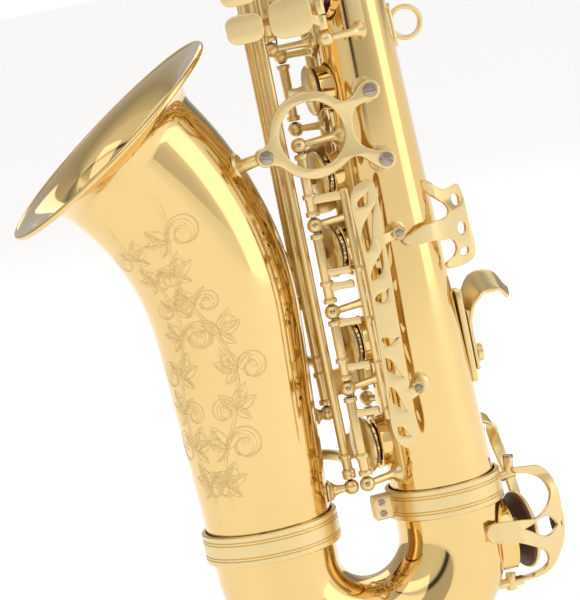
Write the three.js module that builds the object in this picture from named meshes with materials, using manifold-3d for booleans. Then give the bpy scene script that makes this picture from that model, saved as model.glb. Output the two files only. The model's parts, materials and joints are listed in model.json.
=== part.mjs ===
// A conical-bore saxophone in lacquered brass: body tube, bow, bell, neck, mouthpiece and its working keys.
// Millimetres, +Z up the body tube. The bell points to -X, the player stands at +X, and -Y is the player's
// left. Everything is drawn round the body tube's axis, level with the strap ring at z = 0, and the finished
// group is shifted so that the origin is the centre of the strap ring, from which the instrument hangs.
import * as THREE from "three";
import { mergeVertices } from "three/addons/utils/BufferGeometryUtils.js";
import Module from "manifold-3d";

const wasm = await Module();
wasm.setup();

// ---------------------------------------------------------------- driving dimensions
const tubeRadiusAtRing = 19; // outer radius of the body tube, level with the strap ring
const tubeTaper = 0.031; // growth of that radius for each millimetre downwards
const tubeTop = 200;
const tubeBottom = -231;
const wall = 1; // sheet thickness of body, bow and bell
const gap = 0.35; // air between two pieces that rest on each other
const tubeSides = 18; // flats round the body, bow and bell

const bowRadius = 44.75; // of the bow's centre line
const bowStraight = 16; // straight run at each end of the bow
const bellRadius = 30.6; // outer radius where the bell meets the bow
const bellTaper = 0.0505; // growth of that radius for each millimetre along the bell
const bellStraight = 104; // length of the bell before it leans forward
const bellBendRadius = 146;
const bellLean = 35; // degrees that the bell's mouth leans forward
const bellNeck = 21.4; // straight run that carries the flare
const flareLength = 16;
const rimRadius = 63.4;
const rimBead = 1.5;

const chimneyHeight = 4;
const chimneyWall = 1.2;
const cupLip = 1.8; // how far a key cup reaches past its tone hole's chimney
const cupHeight = 5;

const hingeTubeRadius = 2.4;
const hingeRodRadius = 1.2;
const hingeClearance = 0.35; // between a steel rod and what turns or sits on it
const ballRadius = 3.8;
const stemRadius = 1.9;
const endPlay = 0.5; // between a hinge tube and the post at its end
const armThickness = 2.4;

const stackOpening = 9; // degrees by which an open stack key stands off its tone hole
const bellKeyOpening = 7;
const lowCOpening = 8;

const strapRingRadius = 7.6; // of the strap ring's centre line
const strapRingWire = 1.3;
const strapRingReach = 26.8; // from the tube's axis to the ring's centre
const neckBendRadius = 62;
const neckBend = 75; // degrees
const neckStraight = 72;
const neckEndRadius = 6.6;
const tenonRadius = 11.6;
const tenonLength = 22;
const receiverWall = 2.4;
const corkLength = 44;
const corkRadius = 9;
const mouthpieceLength = 88;
const mouthpieceRadius = 12.5;
const mouthpieceOnCork = 30; // how far the mouthpiece is pushed on
const chamberRadius = 5.5;

// ---------------------------------------------------------------- colours
const brass = { color: 0xd9b064, roughness: 0.16, metalness: 1 };
const steel = { color: 0xb9bcc0, roughness: 0.25, metalness: 1 };
const corkColour = { color: 0xc09a6b, roughness: 0.9, metalness: 0 };
const ebonite = { color: 0x0d0d0e, roughness: 0.3, metalness: 0 };
const cane = { color: 0xd9c88a, roughness: 0.6, metalness: 0 };

// ---------------------------------------------------------------- small tools
const V = (x, y, z) => new THREE.Vector3(x, y, z);
const Y = V(0, 1, 0);
const Z = V(0, 0, 1);
const rad = THREE.MathUtils.degToRad;
const tubeRadius = (z) => tubeRadiusAtRing - tubeTaper * z;

// A point at an angle round the body tube, 0 at the front and 90 at the player's left, and a distance from
// its axis.
const around = (degrees, distance, z) =>
  V(-distance * Math.cos(rad(degrees)), -distance * Math.sin(rad(degrees)), z);

// A closed geometry as a manifold solid.
function solid(geometry) {
  const bare = geometry.clone();
  bare.deleteAttribute("normal");
  bare.deleteAttribute("uv");
  const merged = mergeVertices(bare, 1e-4);
  return new wasm.Manifold(
    new wasm.Mesh({
      numProp: 3,
      vertProperties: merged.attributes.position.array,
      triVerts: new Uint32Array(merged.index.array),
    }),
  );
}
const join = (...parts) => parts.flat().reduce((a, b) => a.add(b));
const cut = (from, ...parts) => parts.flat().reduce((a, b) => a.subtract(b), from);

// Turns a geometry built along +Y so that it starts at a point and runs along a direction.
function aim(geometry, start, direction) {
  const turn = new THREE.Quaternion().setFromUnitVectors(Y, direction.clone().normalize());
  return geometry.applyQuaternion(turn).translate(start.x, start.y, start.z);
}
function rod(from, to, radius, endRadius = radius, sides = 6) {
  const length = from.distanceTo(to);
  const body = new THREE.CylinderGeometry(endRadius, radius, length, sides);
  return solid(aim(body.translate(0, length / 2, 0), from, to.clone().sub(from)));
}
const ball = (centre, radius = ballRadius) =>
  solid(new THREE.SphereGeometry(radius, 6, 4).translate(centre.x, centre.y, centre.z));
const turnedProfile = (profile, sides) =>
  new THREE.LatheGeometry(profile.map(([r, h]) => new THREE.Vector2(r, h)), sides);
const lathe = (profile, start, direction, sides = 16) =>
  solid(aim(turnedProfile(profile, sides), start, direction));
const block = (centre, width, depth, height) =>
  solid(new THREE.BoxGeometry(width, depth, height).translate(centre.x, centre.y, centre.z));

// A flat bar along a smooth line through some points, its width lying as nearly as it can along a direction.
function strap(points, width, thickness = armThickness, across = Z, steps = 2 * (points.length - 1)) {
  const path = new THREE.CatmullRomCurve3(points);
  const geometry = new THREE.BoxGeometry(width, thickness, 1, 1, 1, steps).translate(0, 0, 0.5);
  const position = geometry.getAttribute("position");
  const local = V(0, 0, 0);
  for (let i = 0; i < position.count; i++) {
    local.fromBufferAttribute(position, i);
    const tangent = path.getTangentAt(local.z);
    const wide = across.clone().addScaledVector(tangent, -across.dot(tangent)).normalize();
    const thick = new THREE.Vector3().crossVectors(tangent, wide);
    const point = path.getPointAt(local.z).addScaledVector(wide, local.x).addScaledVector(thick, local.y);
    position.setXYZ(i, point.x, point.y, point.z);
  }
  return solid(geometry);
}
// A plate cut to an outline in the XZ plane, centred on a depth y.
function plateXZ(shape, y, thickness, curveSegments = 6) {
  const flat = new THREE.ExtrudeGeometry(shape, { depth: thickness, bevelEnabled: false, curveSegments });
  return solid(flat.rotateX(Math.PI / 2).translate(0, y + thickness / 2, 0));
}
const disc = (centre, direction, radius, thickness, sides = 10) =>
  rod(centre, centre.clone().addScaledVector(direction, thickness), radius, radius, sides);

// A lathe solid bent along a curve in the XZ plane. Its profile gives [radius, distance along the curve].
function bent(profile, curve, sides) {
  const geometry = turnedProfile(profile, sides);
  const length = curve.getLength();
  const position = geometry.getAttribute("position");
  const local = V(0, 0, 0);
  for (let i = 0; i < position.count; i++) {
    local.fromBufferAttribute(position, i);
    const share = THREE.MathUtils.clamp(local.y / length, 0, 1);
    const tangent = curve.getTangentAt(share);
    const side = new THREE.Vector3().crossVectors(tangent, Y);
    const point = curve
      .getPointAt(share)
      .addScaledVector(side, local.x)
      .addScaledVector(Y, local.z)
      .addScaledVector(tangent, local.y - share * length);
    position.setXYZ(i, point.x, point.y, point.z);
  }
  return solid(geometry);
}
// A line in the XZ plane that runs straight, turns through an arc and runs straight again.
function lineArcLine(start, heading, firstRun, radius, turn, lastRun) {
  const points = [];
  const at = start.clone();
  const step = (angle, length) => at.add(V(Math.cos(angle) * length, 0, Math.sin(angle) * length));
  const count = 16;
  const angle = rad(heading);
  const share = rad(turn) / count;
  for (let i = 0; i < 4; i++) {
    points.push(at.clone());
    step(angle, firstRun / 4);
  }
  for (let i = 0; i < count; i++) {
    points.push(at.clone());
    step(angle + share * (i + 0.5), 2 * radius * Math.sin(Math.abs(share) / 2));
  }
  for (let i = 0; i < 4; i++) {
    points.push(at.clone());
    step(angle + rad(turn), lastRun / 4);
  }
  points.push(at.clone());
  return new THREE.CatmullRomCurve3(points);
}

// ---------------------------------------------------------------- body tube, bow and bell
const bowStart = V(0, 0, tubeBottom - gap);
const bowCurve = lineArcLine(bowStart, -90, bowStraight, bowRadius, -180, bowStraight);
const bowLength = bowCurve.getLength();
const bowEnd = bowCurve.getPointAt(1);
const bowRadiusAt = (s) => THREE.MathUtils.lerp(tubeRadius(tubeBottom), bellRadius, s / bowLength);

const bellStart = V(bowEnd.x, 0, bowEnd.z + gap);
const bellCurve = lineArcLine(bellStart, 90, bellStraight, bellBendRadius, bellLean, bellNeck);
const bellLength = bellCurve.getLength();
const flareStart = bellLength - flareLength;
const bellRadiusAt = (s) => bellRadius + bellTaper * Math.min(s, flareStart);
// The flare is a quarter of an ellipse, from along the bell's wall to square across its mouth.
const flare = [...Array(5).keys()].map((i) => {
  const turn = ((i + 1) / 5) * (Math.PI / 2);
  const root = bellRadiusAt(flareStart);
  return [root + (rimRadius - root) * (1 - Math.cos(turn)), flareStart + flareLength * Math.sin(turn)];
});
// The bell's height above its start gives the distance along it and the centre of its bore there.
const bellAt = (z) => {
  let s = z - bellStart.z;
  for (let i = 0; i < 4; i++) s += z - bellCurve.getPointAt(s / bellLength).z;
  return { s, centre: bellCurve.getPointAt(s / bellLength), radius: bellRadiusAt(s) };
};

const hole = (axisPoint, direction, radius, tubeR, height = chimneyHeight) => ({
  axisPoint,
  direction: direction.clone().normalize(),
  radius,
  top: tubeR + height,
});
const bodyHole = (degrees, z, radius, height = chimneyHeight) =>
  hole(V(0, 0, z), around(degrees, 1, 0), radius, tubeRadius(z), height);
const bellHole = (degrees, z, radius) => {
  const { centre, radius: r } = bellAt(z);
  return hole(centre, V(Math.sin(rad(degrees)), Math.cos(rad(degrees)), 0), radius, r);
};
const along = (h, distance) => h.axisPoint.clone().addScaledVector(h.direction, distance);
const chimney = (h, sides = 9) => rod(along(h, 4), along(h, h.top), h.radius + chimneyWall, undefined, sides);
const holeBore = (h, sides = 9) => rod(along(h, 2), along(h, h.top + 1), h.radius, undefined, sides);

const leftStackAngle = 34;
const sideAngle = -118;
const palmAngle = 95;
const bellKeyAngle = 20; // from the player's right towards the body
const bodyHoles = {
  gSharp: bodyHole(0, -23, 9.5),
  fSharp: bodyHole(0, -65, 9.6),
  f: bodyHole(0, -102, 10.2),
  e: bodyHole(0, -148.5, 10.8),
  d: bodyHole(0, -199, 11.6),
  eFlat: bodyHole(-100, -200, 12),
  g: bodyHole(leftStackAngle, 22, 10.3),
  a: bodyHole(leftStackAngle, 55, 9.3),
  b: bodyHole(leftStackAngle, 84, 8),
  c: bodyHole(leftStackAngle, 110, 5),
  palmD: bodyHole(palmAngle, 128, 6, 3),
  palmEFlat: bodyHole(palmAngle, 151, 5.6, 3),
  palmF: bodyHole(palmAngle, 173, 5.2, 3),
  sideBFlat: bodyHole(sideAngle, 30, 8, 3),
  sideC: bodyHole(sideAngle, 60, 7.5, 3),
  sideE: bodyHole(sideAngle, 140, 6, 3),
};
const bellHoles = {
  lowBFlat: bellHole(bellKeyAngle, -104, 20),
  lowB: bellHole(bellKeyAngle, -157, 19),
  lowCSharp: bellHole(bellKeyAngle, -205, 15),
};
const lowCZ = tubeBottom - 28.2;
const lowCHole = hole(V(-2.3, 0, lowCZ), V(1, 0, 0), 16.8, 26.8, 3.5);

const bodyProfile = (grow, low = tubeBottom, high = tubeTop) => [
  [0, low],
  [tubeRadius(low) + grow, low],
  [tubeRadius(high) + grow, high],
  [0, high],
];
const bodyLathe = (grow, low, high) => lathe(bodyProfile(grow, low, high), V(0, 0, 0), Z, tubeSides);
const bellProfile = (grow, end) => [
  [0, -2 * (grow < 0)],
  [bellRadius + grow, -2 * (grow < 0)],
  [bellRadiusAt(flareStart * 0.55) + grow, flareStart * 0.55],
  [bellRadiusAt(flareStart) + grow, flareStart],
  ...flare.map(([r, s]) => [r + grow, Math.min(s - grow * 0.8, end)]),
  [rimRadius + grow, end],
  [0, end],
];
// Solids a little larger than the tubes, which give every foot and rib its seat.
const tubeSeat = bodyLathe(gap);
const bellSeat = bent(bellProfile(gap, bellLength), bellCurve, tubeSides);
const bowProfile = (grow, overrun) => [
  [0, -overrun],
  [bowRadiusAt(0) + grow, -overrun],
  ...[1, 2, 3, 4, 5, 6].map((i) => (bowLength * i) / 7).map((s) => [bowRadiusAt(s) + grow, s]),
  [bellRadius + grow, bowLength + overrun],
  [0, bowLength + overrun],
];
const bowSeat = bent(bowProfile(gap, 0), bowCurve, tubeSides);

function bodyTube() {
  const holes = Object.values(bodyHoles);
  const posts = gSharpPosts.map((z) => postOnTube(lines.gSharp, z));
  const chimneys = holes.map((h) => chimney(h));
  const walls = join(bodyLathe(0), chimneys, braceFeet.map(braceFoot), octavePosts(), posts);
  return cut(walls, bodyLathe(-wall, tubeBottom - 1, tubeTop + 1), holes.map((h) => holeBore(h)));
}
function bow() {
  const walls = join(bent(bowProfile(0, 0), bowCurve, tubeSides), chimney(lowCHole, 12));
  return cut(walls, bent(bowProfile(-wall, 1), bowCurve, tubeSides), holeBore(lowCHole, 12));
}
function bell() {
  const holes = Object.values(bellHoles);
  const bead = bent(
    [...Array(6).keys()].map((i) => {
      const turn = (i / 5) * 2 * Math.PI;
      return [rimRadius + rimBead * Math.cos(turn), bellLength + rimBead * Math.sin(turn)];
    }),
    bellCurve,
    tubeSides,
  );
  const outside = bent(bellProfile(0, bellLength), bellCurve, tubeSides);
  const inside = bent(bellProfile(-wall, bellLength + 2), bellCurve, tubeSides);
  const walls = join(outside, holes.map((h) => chimney(h, 12)), bead);
  return cut(walls, cut(inside, bead), holes.map((h) => holeBore(h, 12)));
}

// Two rings cover the joints between body, bow and bell.
const clampReach = 2;
const clampHeight = 15;
function clampRing(centre, radius) {
  const half = clampHeight / 2;
  const reach = radius + gap;
  const profile = [
    [reach, -half], [reach + clampReach, -half], [reach + clampReach, -2.2], [reach + clampReach - 0.7, -1.7],
    [reach + clampReach, -1.2], [reach + clampReach, 1.2], [reach + clampReach - 0.7, 1.7],
    [reach + clampReach, 2.2], [reach + clampReach, half], [reach, half], [reach, -half],
  ];
  return lathe(profile, centre, Z, tubeSides);
}
const bodyClampZ = tubeBottom - gap / 2;
const bellBandZ = bellStart.z - gap / 2;
function bodyBowClamp() {
  const ring = clampRing(V(0, 0, bodyClampZ), tubeRadius(tubeBottom) + 0.4);
  const lug = block(V(-tubeRadius(tubeBottom) - 5.6, 0, bodyClampZ), 9, 9, 12);
  return join(ring, cut(lug, block(V(-tubeRadius(tubeBottom) - 8.5, 0, bodyClampZ), 8, 1.2, 14)));
}
const bellBowBand = () => clampRing(V(bellStart.x, 0, bellBandZ), bellRadius + 0.7);

// ---------------------------------------------------------------- key parts
// A key cup over its chimney, drawn closed with a gap under its pad.
const cupRadius = (h) => h.radius + chimneyWall + cupLip;
function cup(h, sides = 10) {
  const r = cupRadius(h);
  const profile = [[0, 0], [r, 0], [r, cupHeight * 0.6], [r * 0.7, cupHeight * 0.9], [0, cupHeight]];
  return lathe(profile, along(h, h.top + gap), h.direction, sides);
}
const cupTop = (h) => along(h, h.top + gap + cupHeight);
// Turns a drawn key about its hinge line, which runs along an axis through a pivot.
function turned(key, pivot, degrees, axis = Z) {
  const matrix = new THREE.Matrix4()
    .makeTranslation(pivot.x, pivot.y, pivot.z)
    .multiply(new THREE.Matrix4().makeRotationAxis(axis, rad(degrees)))
    .multiply(new THREE.Matrix4().makeTranslation(-pivot.x, -pivot.y, -pivot.z));
  return key.transform(matrix.elements);
}
const at = (line, z) => V(line.x, line.y, z);
const hingeTube = (line, from, to) => rod(at(line, from), at(line, to), hingeTubeRadius);
const hingeBore = (line, from, to) =>
  rod(at(line, from - 1), at(line, to + 1), hingeRodRadius + hingeClearance, undefined, 5);
const collar = (line, z, height = 2.4) => rod(at(line, z), at(line, z + height), hingeTubeRadius + 0.9);
// A post stands on the axis side of a hinge line, from inside the tube's seat up to a ball on the line.
function post(root, head) {
  return join(rod(root, head, stemRadius * 1.5, stemRadius, 6), ball(head));
}
// A rib is a strip soldered along the tube at an angle, which carries the posts of one hinge line.
function rib(degrees, low, high, width = 8) {
  const inner = Math.min(tubeRadius(low), tubeRadius(high)) - 1;
  const outer = Math.max(tubeRadius(low), tubeRadius(high)) + 1.6;
  const strip = block(V(-(inner + outer) / 2, 0, (low + high) / 2), outer - inner, width, high - low);
  const shell = bodyLathe(gap + 1.4, low, high);
  return turned(strip.intersect(shell), V(0, 0, 0), degrees);
}
const lineAngle = (line) => THREE.MathUtils.radToDeg(Math.atan2(-line.y, -line.x));
const postOnTube = (line, z, foot = 12) => {
  const distance = Math.hypot(line.x, line.y);
  return post(at(line, z).multiply(V(foot / distance, foot / distance, 1)), at(line, z));
};

// ---------------------------------------------------------------- hinge lines, parallel to the body tube
const sideLineReach = 29.5; // from the body's axis to the side keys' hinge tubes
const sideLineAngle = -64; // of the middle one of the three
const sideSpacing = THREE.MathUtils.radToDeg((ballRadius + hingeTubeRadius) / sideLineReach);
const lines = {
  rightStack: V(-42, -22, 0),
  leftStack: V(-40.4, 4, 0),
  gSharp: V(-33, 20, 0),
  lowBFlat: V(-48.6, 14, 0),
  lowB: V(-48.7, 6, 0),
  lowCSharp: V(-47.2, -8, 0),
  table: V(-22, -36, 0),
  sideBFlat: around(sideLineAngle + sideSpacing, sideLineReach, 0),
  sideC: around(sideLineAngle, sideLineReach, 0),
  sideE: around(sideLineAngle - sideSpacing, sideLineReach, 0),
  palm: around(125, 24, 0),
  eFlat: V(-21, 38, 0),
  lowC: V(31, 33, 0),
};
const half = ballRadius + endPlay; // from a post's centre to the end of the tube beside it

// ---------------------------------------------------------------- right-hand stack
const rightPosts = [-46.2, -85.3, -128, -166.1, -213.9];
const trillBar = V(-28, -32, 0); // the long bar of the F sharp key
const tailReach = 12.6; // how far the tails of the other keys reach towards that bar
function rightStackRib() {
  const line = lines.rightStack;
  const body = join(rib(lineAngle(line), -220, -40), rightPosts.map((z) => postOnTube(line, z)));
  const seats = Object.values(bodyHoles).slice(0, 5).map(chimneySeat);
  return cut(body, tubeSeat, hingeBore(line, -225, -38), seats);
}
const chimneySeat = (h) =>
  rod(along(h, 4), along(h, h.top + 0.5), h.radius + chimneyWall + gap + 0.4, undefined, 10);
const armTo = (line, h, z, width = 6) => {
  const top = along(h, h.top + gap + cupHeight - armThickness / 2 + 0.6);
  const middle = at(line, z).lerp(top, 0.5).add(V(-1.2, 0, 0));
  return strap([at(line, z), middle, top], width);
};
function rightKey(h, index, tails) {
  const line = lines.rightStack;
  const high = rightPosts[index] - half;
  const low = rightPosts[index + 1] + half;
  const towards = trillBar.clone().sub(line).setZ(0).normalize();
  const key = join(
    hingeTube(line, low, high),
    collar(line, low),
    collar(line, high - 2.4),
    armTo(line, h, h.axisPoint.z),
    cup(h),
    tails.map((z) => rod(at(line, z), at(line, z).addScaledVector(towards, tailReach), 1.5, undefined, 6)),
  );
  return turned(cut(key, hingeBore(line, low, high)), line, stackOpening);
}
function keyFSharp() {
  const line = lines.rightStack;
  const high = rightPosts[0] - half;
  const low = rightPosts[1] + half;
  const key = join(
    hingeTube(line, low, high),
    collar(line, low),
    armTo(line, bodyHoles.fSharp, -65),
    cup(bodyHoles.fSharp),
    rod(at(line, -73), at(trillBar, -73), 1.7, undefined, 6),
    rod(at(trillBar, -70), at(trillBar, -184), 2, undefined, 6),
  );
  return turned(cut(key, hingeBore(line, low, high)), line, stackOpening);
}
const stackRod = (line, low, high) => rod(at(line, low), at(line, high), hingeRodRadius, undefined, 6);

// ---------------------------------------------------------------- left-hand stack
const leftPosts = [0, 38.5, 70, 96.5, 124];
function leftStackRib() {
  const line = lines.leftStack;
  const body = join(rib(lineAngle(line), -5, 129, 7), leftPosts.map((z) => postOnTube(line, z, 10)));
  const seats = [bodyHoles.g, bodyHoles.a, bodyHoles.b, bodyHoles.c, bodyHoles.gSharp].map(chimneySeat);
  return cut(body, tubeSeat, hingeBore(line, -10, 135), seats);
}
function leftKey(h, index) {
  const line = lines.leftStack;
  const low = leftPosts[index] + half;
  const high = leftPosts[index + 1] - half;
  const z = h.axisPoint.z;
  const touch = V(-38.5, -5.5, z);
  const key = join(
    hingeTube(line, low, high),
    collar(line, low),
    armTo(line, h, z),
    cup(h, 12),
    rod(V(-32, -5, z), touch, 5.4, 6.2, 10),
  );
  return turned(cut(key, hingeBore(line, low, high)), line, -stackOpening);
}

// ---------------------------------------------------------------- G sharp key and the little-finger table
function gSharpKey() {
  const line = lines.gSharp;
  const h = bodyHoles.gSharp;
  const tube = [hingeTube(line, -37, -9), collar(line, -37), collar(line, -11.4)];
  return join(tube, armTo(line, h, -23), cup(h));
}
const gSharpPosts = [-37 - half, -9 + half];
const tablePosts = [1.5, 39];
// Where each lever's tube starts.
const tableTubes = { gSharp: 6, lowB: 13.3, lowBFlat: 20.6, lowCSharp: 27.9 };
const tableTubeLength = 6.7;
const tableDepth = -38; // of the touch plates
const tableRibAngle = 86;
function tableLever(name, plateX, plateZ, width, height, under) {
  const line = lines.table;
  const low = tableTubes[name];
  const z = low + tableTubeLength / 2;
  const outline = new THREE.Shape().absellipse(plateX, plateZ, width / 2, height / 2, 0, 2 * Math.PI);
  const flat = new THREE.ExtrudeGeometry(outline, { depth: 2, bevelEnabled: false, curveSegments: 9 });
  const plate = solid(flat.rotateX(Math.PI / 2).translate(0, tableDepth + 1, 0));
  const route = under
    ? [at(line, z), V(-29, -30, z), V(-44, -30, (z + plateZ) / 2), V(plateX + 4, tableDepth + 2, plateZ)]
    : [at(line, z), V(-27, tableDepth, (z + plateZ) / 2), V(plateX + 4, tableDepth, plateZ)];
  return join(hingeTube(line, low, low + tableTubeLength), strap(route, 4.4), plate);
}
function tableRib() {
  const line = lines.table;
  const posts = tablePosts.map((z) => post(around(tableRibAngle, 14, z), at(line, z)));
  const body = join(rib(tableRibAngle, -3, 43, 7), posts);
  return cut(body, tubeSeat, chimneySeat(bodyHoles.g), chimneySeat(bodyHoles.a));
}

// ---------------------------------------------------------------- bell keys, on long tubes by the bell
const longTubeTop = 45;
const bellTubes = { lowBFlat: -121, lowB: -176, lowCSharp: -212 }; // where each long tube ends
function bellKey(name) {
  const line = lines[name];
  const h = bellHoles[name];
  const z = h.axisPoint.z;
  const end = bellTubes[name];
  const armZ = Math.max(z, end + 3);
  const edge = h.direction.clone().cross(Z).multiplyScalar(-1);
  const overEdge = cupTop(h).addScaledVector(edge, -cupRadius(h) - 1).addScaledVector(h.direction, 1.5);
  const approach = V(-49, Math.max(line.y, 10) + 11, armZ);
  const route = [at(line, armZ), approach, overEdge.setZ(z), cupTop(h)];
  const tail = rod(at(line, 12), V(line.x - 9, line.y - 4, 12), 1.7, undefined, 6);
  const tube = [hingeTube(line, end, longTubeTop), collar(line, end), collar(line, longTubeTop - 2.4)];
  const key = join(tube, strap(route, 6), cup(h, 12), tail);
  return turned(key, line, -bellKeyOpening);
}
function bellKeyRib() {
  const feet = Object.entries(bellTubes).map(([name, end]) => {
    const z = end - half;
    const head = at(lines[name], z);
    const { centre } = bellAt(z);
    return post(centre.lerp(head, 0.5), head);
  });
  const spineStart = bellAt(-112);
  const spineEnd = bellAt(-221);
  const backbone = strap(
    [spineStart, bellAt(-165), spineEnd].map(({ centre, radius }) =>
      V(centre.x + radius * 0.97, 8, centre.z),
    ),
    9, 8, Y,
  );
  const lowest = bellAt(bellTubes.lowCSharp - half);
  const crossFoot = block(V(lowest.centre.x + lowest.radius, 0, lowest.centre.z), 24, 30, 8);
  const skin = bent(bellProfile(gap + 1.4, bellLength), bellCurve, tubeSides);
  const plates = join(backbone, crossFoot).intersect(skin);
  return cut(join(plates, feet), bellSeat, Object.values(bellHoles).map(chimneySeat));
}
const bracketAngle = -35;
function longRodBracket() {
  const z = longTubeTop + half;
  const heads = [lines.lowBFlat, lines.lowB, lines.lowCSharp].map((line) => at(line, z));
  const body = join(
    disc(around(bracketAngle, 12, z), around(bracketAngle, 1, 0), 4.5, 7.2),
    rod(around(bracketAngle, 12, z), at(lines.lowBFlat, z), stemRadius * 1.4, stemRadius, 8),
    rod(heads[0], heads[1], stemRadius),
    rod(heads[1], heads[2], stemRadius),
    heads.map((head) => ball(head)),
  );
  return cut(body, tubeSeat);
}

// ---------------------------------------------------------------- side keys, palm keys, low E flat, low C
const sideFoot = -115;
const sideArmReach = sideLineReach + hingeTubeRadius + 3.6; // their arms pass over the tubes beside them
const sideTops = { sideBFlat: 40, sideC: 70, sideE: 150 };
const sideTouches = { sideE: -59, sideC: -78, sideBFlat: -97 };
function sideKey(name) {
  const line = lines[name];
  const h = bodyHoles[name];
  const z = h.axisPoint.z;
  const angle = lineAngle(line);
  const touchZ = sideTouches[name];
  const route = [
    at(line, z),
    around(angle - 3, sideArmReach, z),
    around((angle + sideAngle) / 2 - 4, sideArmReach + 0.5, z),
    around(sideAngle + 14, 31, z),
    cupTop(h),
  ];
  return join(
    hingeTube(line, sideFoot + half, sideTops[name] - half),
    strap(route, 4.5),
    cup(h),
    strap(
      [
        at(line, touchZ), around(angle + 3, sideArmReach, touchZ),
        around(angle / 2 - 20, sideArmReach + 2, touchZ), around(-36, sideArmReach + 2, touchZ),
      ],
      15, 2.2,
    ),
  );
}
function sideKeyRib() {
  const posts = Object.entries(sideTops).flatMap(([name, top]) => [
    postOnTube(lines[name], sideFoot, 12),
    postOnTube(lines[name], top, 12),
    turned(crossFoot(top), V(0, 0, 0), sideLineAngle),
  ]);
  const foot = turned(crossFoot(sideFoot), V(0, 0, 0), sideLineAngle);
  const body = join(rib(sideLineAngle, sideFoot - 5, 155), foot, posts);
  return cut(body, tubeSeat, Object.values(bodyHoles).map(chimneySeat));
}
// A short piece of shell across a rib, wide enough to hold three posts side by side.
function crossFoot(z) {
  const strip = block(V(-tubeRadius(z), 0, z), 14, 22, 8);
  return strip.intersect(bodyLathe(gap + 1.4, z - 5, z + 5));
}

const palmPosts = [116, 140, 162, 184];
function palmKey(h, index) {
  const line = lines.palm;
  const z = h.axisPoint.z;
  const low = palmPosts[index] + half;
  const high = palmPosts[index + 1] - half;
  const middle = (low + high) / 2;
  return join(
    hingeTube(line, low, high),
    strap([at(line, middle), around(112, 27.5, (middle + z) / 2), cupTop(h)], 4.5),
    cup(h),
    strap([at(line, middle), around(138, 28.5, middle), around(152, 30, middle)], 12, 2),
  );
}
function palmRib() {
  const body = join(rib(125, 111, 189, 7), palmPosts.map((z) => postOnTube(lines.palm, z, 8)));
  return cut(body, tubeSeat, [bodyHoles.palmD, bodyHoles.palmEFlat, bodyHoles.palmF].map(chimneySeat));
}

const eFlatPosts = [-216, -183, -160];
function eFlatKey() {
  const line = lines.eFlat;
  const h = bodyHoles.eFlat;
  const low = eFlatPosts[0] + half;
  const high = eFlatPosts[1] - half;
  return join(
    hingeTube(line, low, high),
    strap([at(line, -200), V(-8, 41, -200), cupTop(h)], 6),
    cup(h),
    strap([at(line, -205), V(-28, 39.5, -205), V(-40, 35, -205)], 13, 2),
  );
}
function lowCLever() {
  const line = lines.eFlat;
  const low = eFlatPosts[1] + half;
  const high = eFlatPosts[2] - half;
  const z = (low + high) / 2;
  return join(
    hingeTube(line, low, high),
    strap([at(line, z), V(-28, 39.5, z), V(-40, 35, z)], 13, 2),
    strap([at(line, z), V(-5, 43, z), V(14, 42, z)], 5),
  );
}
const lowCPosts = [-212, -176];
const lowPlateZ = -172; // of the curved plate that ties the two low ribs
const lowCArmFace = V(-0.3, 0.5, 1); // the arm's width lies along this, as nearly as it can
function lowCKey() {
  const line = lines.lowC;
  const low = lowCPosts[0] + half;
  const high = lowCPosts[1] - half;
  const top = cupTop(lowCHole);
  const key = join(
    hingeTube(line, low, high),
    strap(
      [
        at(line, low + 3), V(38.5, 36, low - 1), V(40, 33, low - 14), V(39, 20, lowCZ + 15),
        V(top.x + 0.8, 8, lowCZ + 3), top,
      ],
      6, armThickness, lowCArmFace,
    ),
    cup(lowCHole, 12),
    strap([at(line, high - 4), V(26, 40, high - 4), V(19, 40, high - 4)], 5),
  );
  return turned(key, line, lowCOpening);
}
function lowKeyRib() {
  const z = lowPlateZ;
  const band = cut(
    bodyLathe(gap + 1.4, z - 4, z + 4),
    block(V(0, -30, z), 90, 60, 20),
    block(V(-50, 0, z), 64, 80, 20),
    block(V(tubeRadius(z) + 20.67, 0, z), 44, 80, 20),
  );
  const parts = [
    eFlatPosts.map((z) => postOnTube(lines.eFlat, z, 15)),
    lowCPosts.map((z) => postOnTube(lines.lowC, z, 15)),
    rib(lineAngle(lines.eFlat), -221, -155),
    rib(lineAngle(lines.lowC), -221, -155),
    band,
  ];
  return cut(join(parts.flat()), tubeSeat, Object.values(bodyHoles).map(chimneySeat));
}

// ---------------------------------------------------------------- guards and fixed fittings
const guardLeaves = 8;
const guardLeafSpacing = 15.4;
function clothingGuard() {
  const outline = new THREE.Shape();
  outline.moveTo(-15, -67);
  outline.splineThru(
    [
      [-23, -73], [-27, -90], [-30, -133], [-28.5, -183], [-23, -198.5], [-16, -191], [-17, -171],
      [-14.2, -128], [-11.6, -79],
    ].map(([x, z]) => new THREE.Vector2(x, z)),
  );
  outline.lineTo(-15, -67);
  const leaves = [...Array(guardLeaves).keys()].map((i) => {
    const leaf = new THREE.Shape();
    leaf.absellipse(-19 - i * 0.56, -78 - i * guardLeafSpacing, 2.2, 5.6, 0, 2 * Math.PI, false, 0.35);
    return plateXZ(leaf, -40, 4, 3);
  });
  const feet = [V(-6, -36, -96), V(-11.7, -36, -171)].map((head) =>
    join(
      post(V(head.x * 0.3, -10, head.z), head),
      rod(head, V(-17, -40, head.z - 3), 1.8, undefined, 6),
    ),
  );
  return cut(join(cut(plateXZ(outline, -40, 1.6, 2), leaves), feet), tubeSeat);
}
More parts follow.
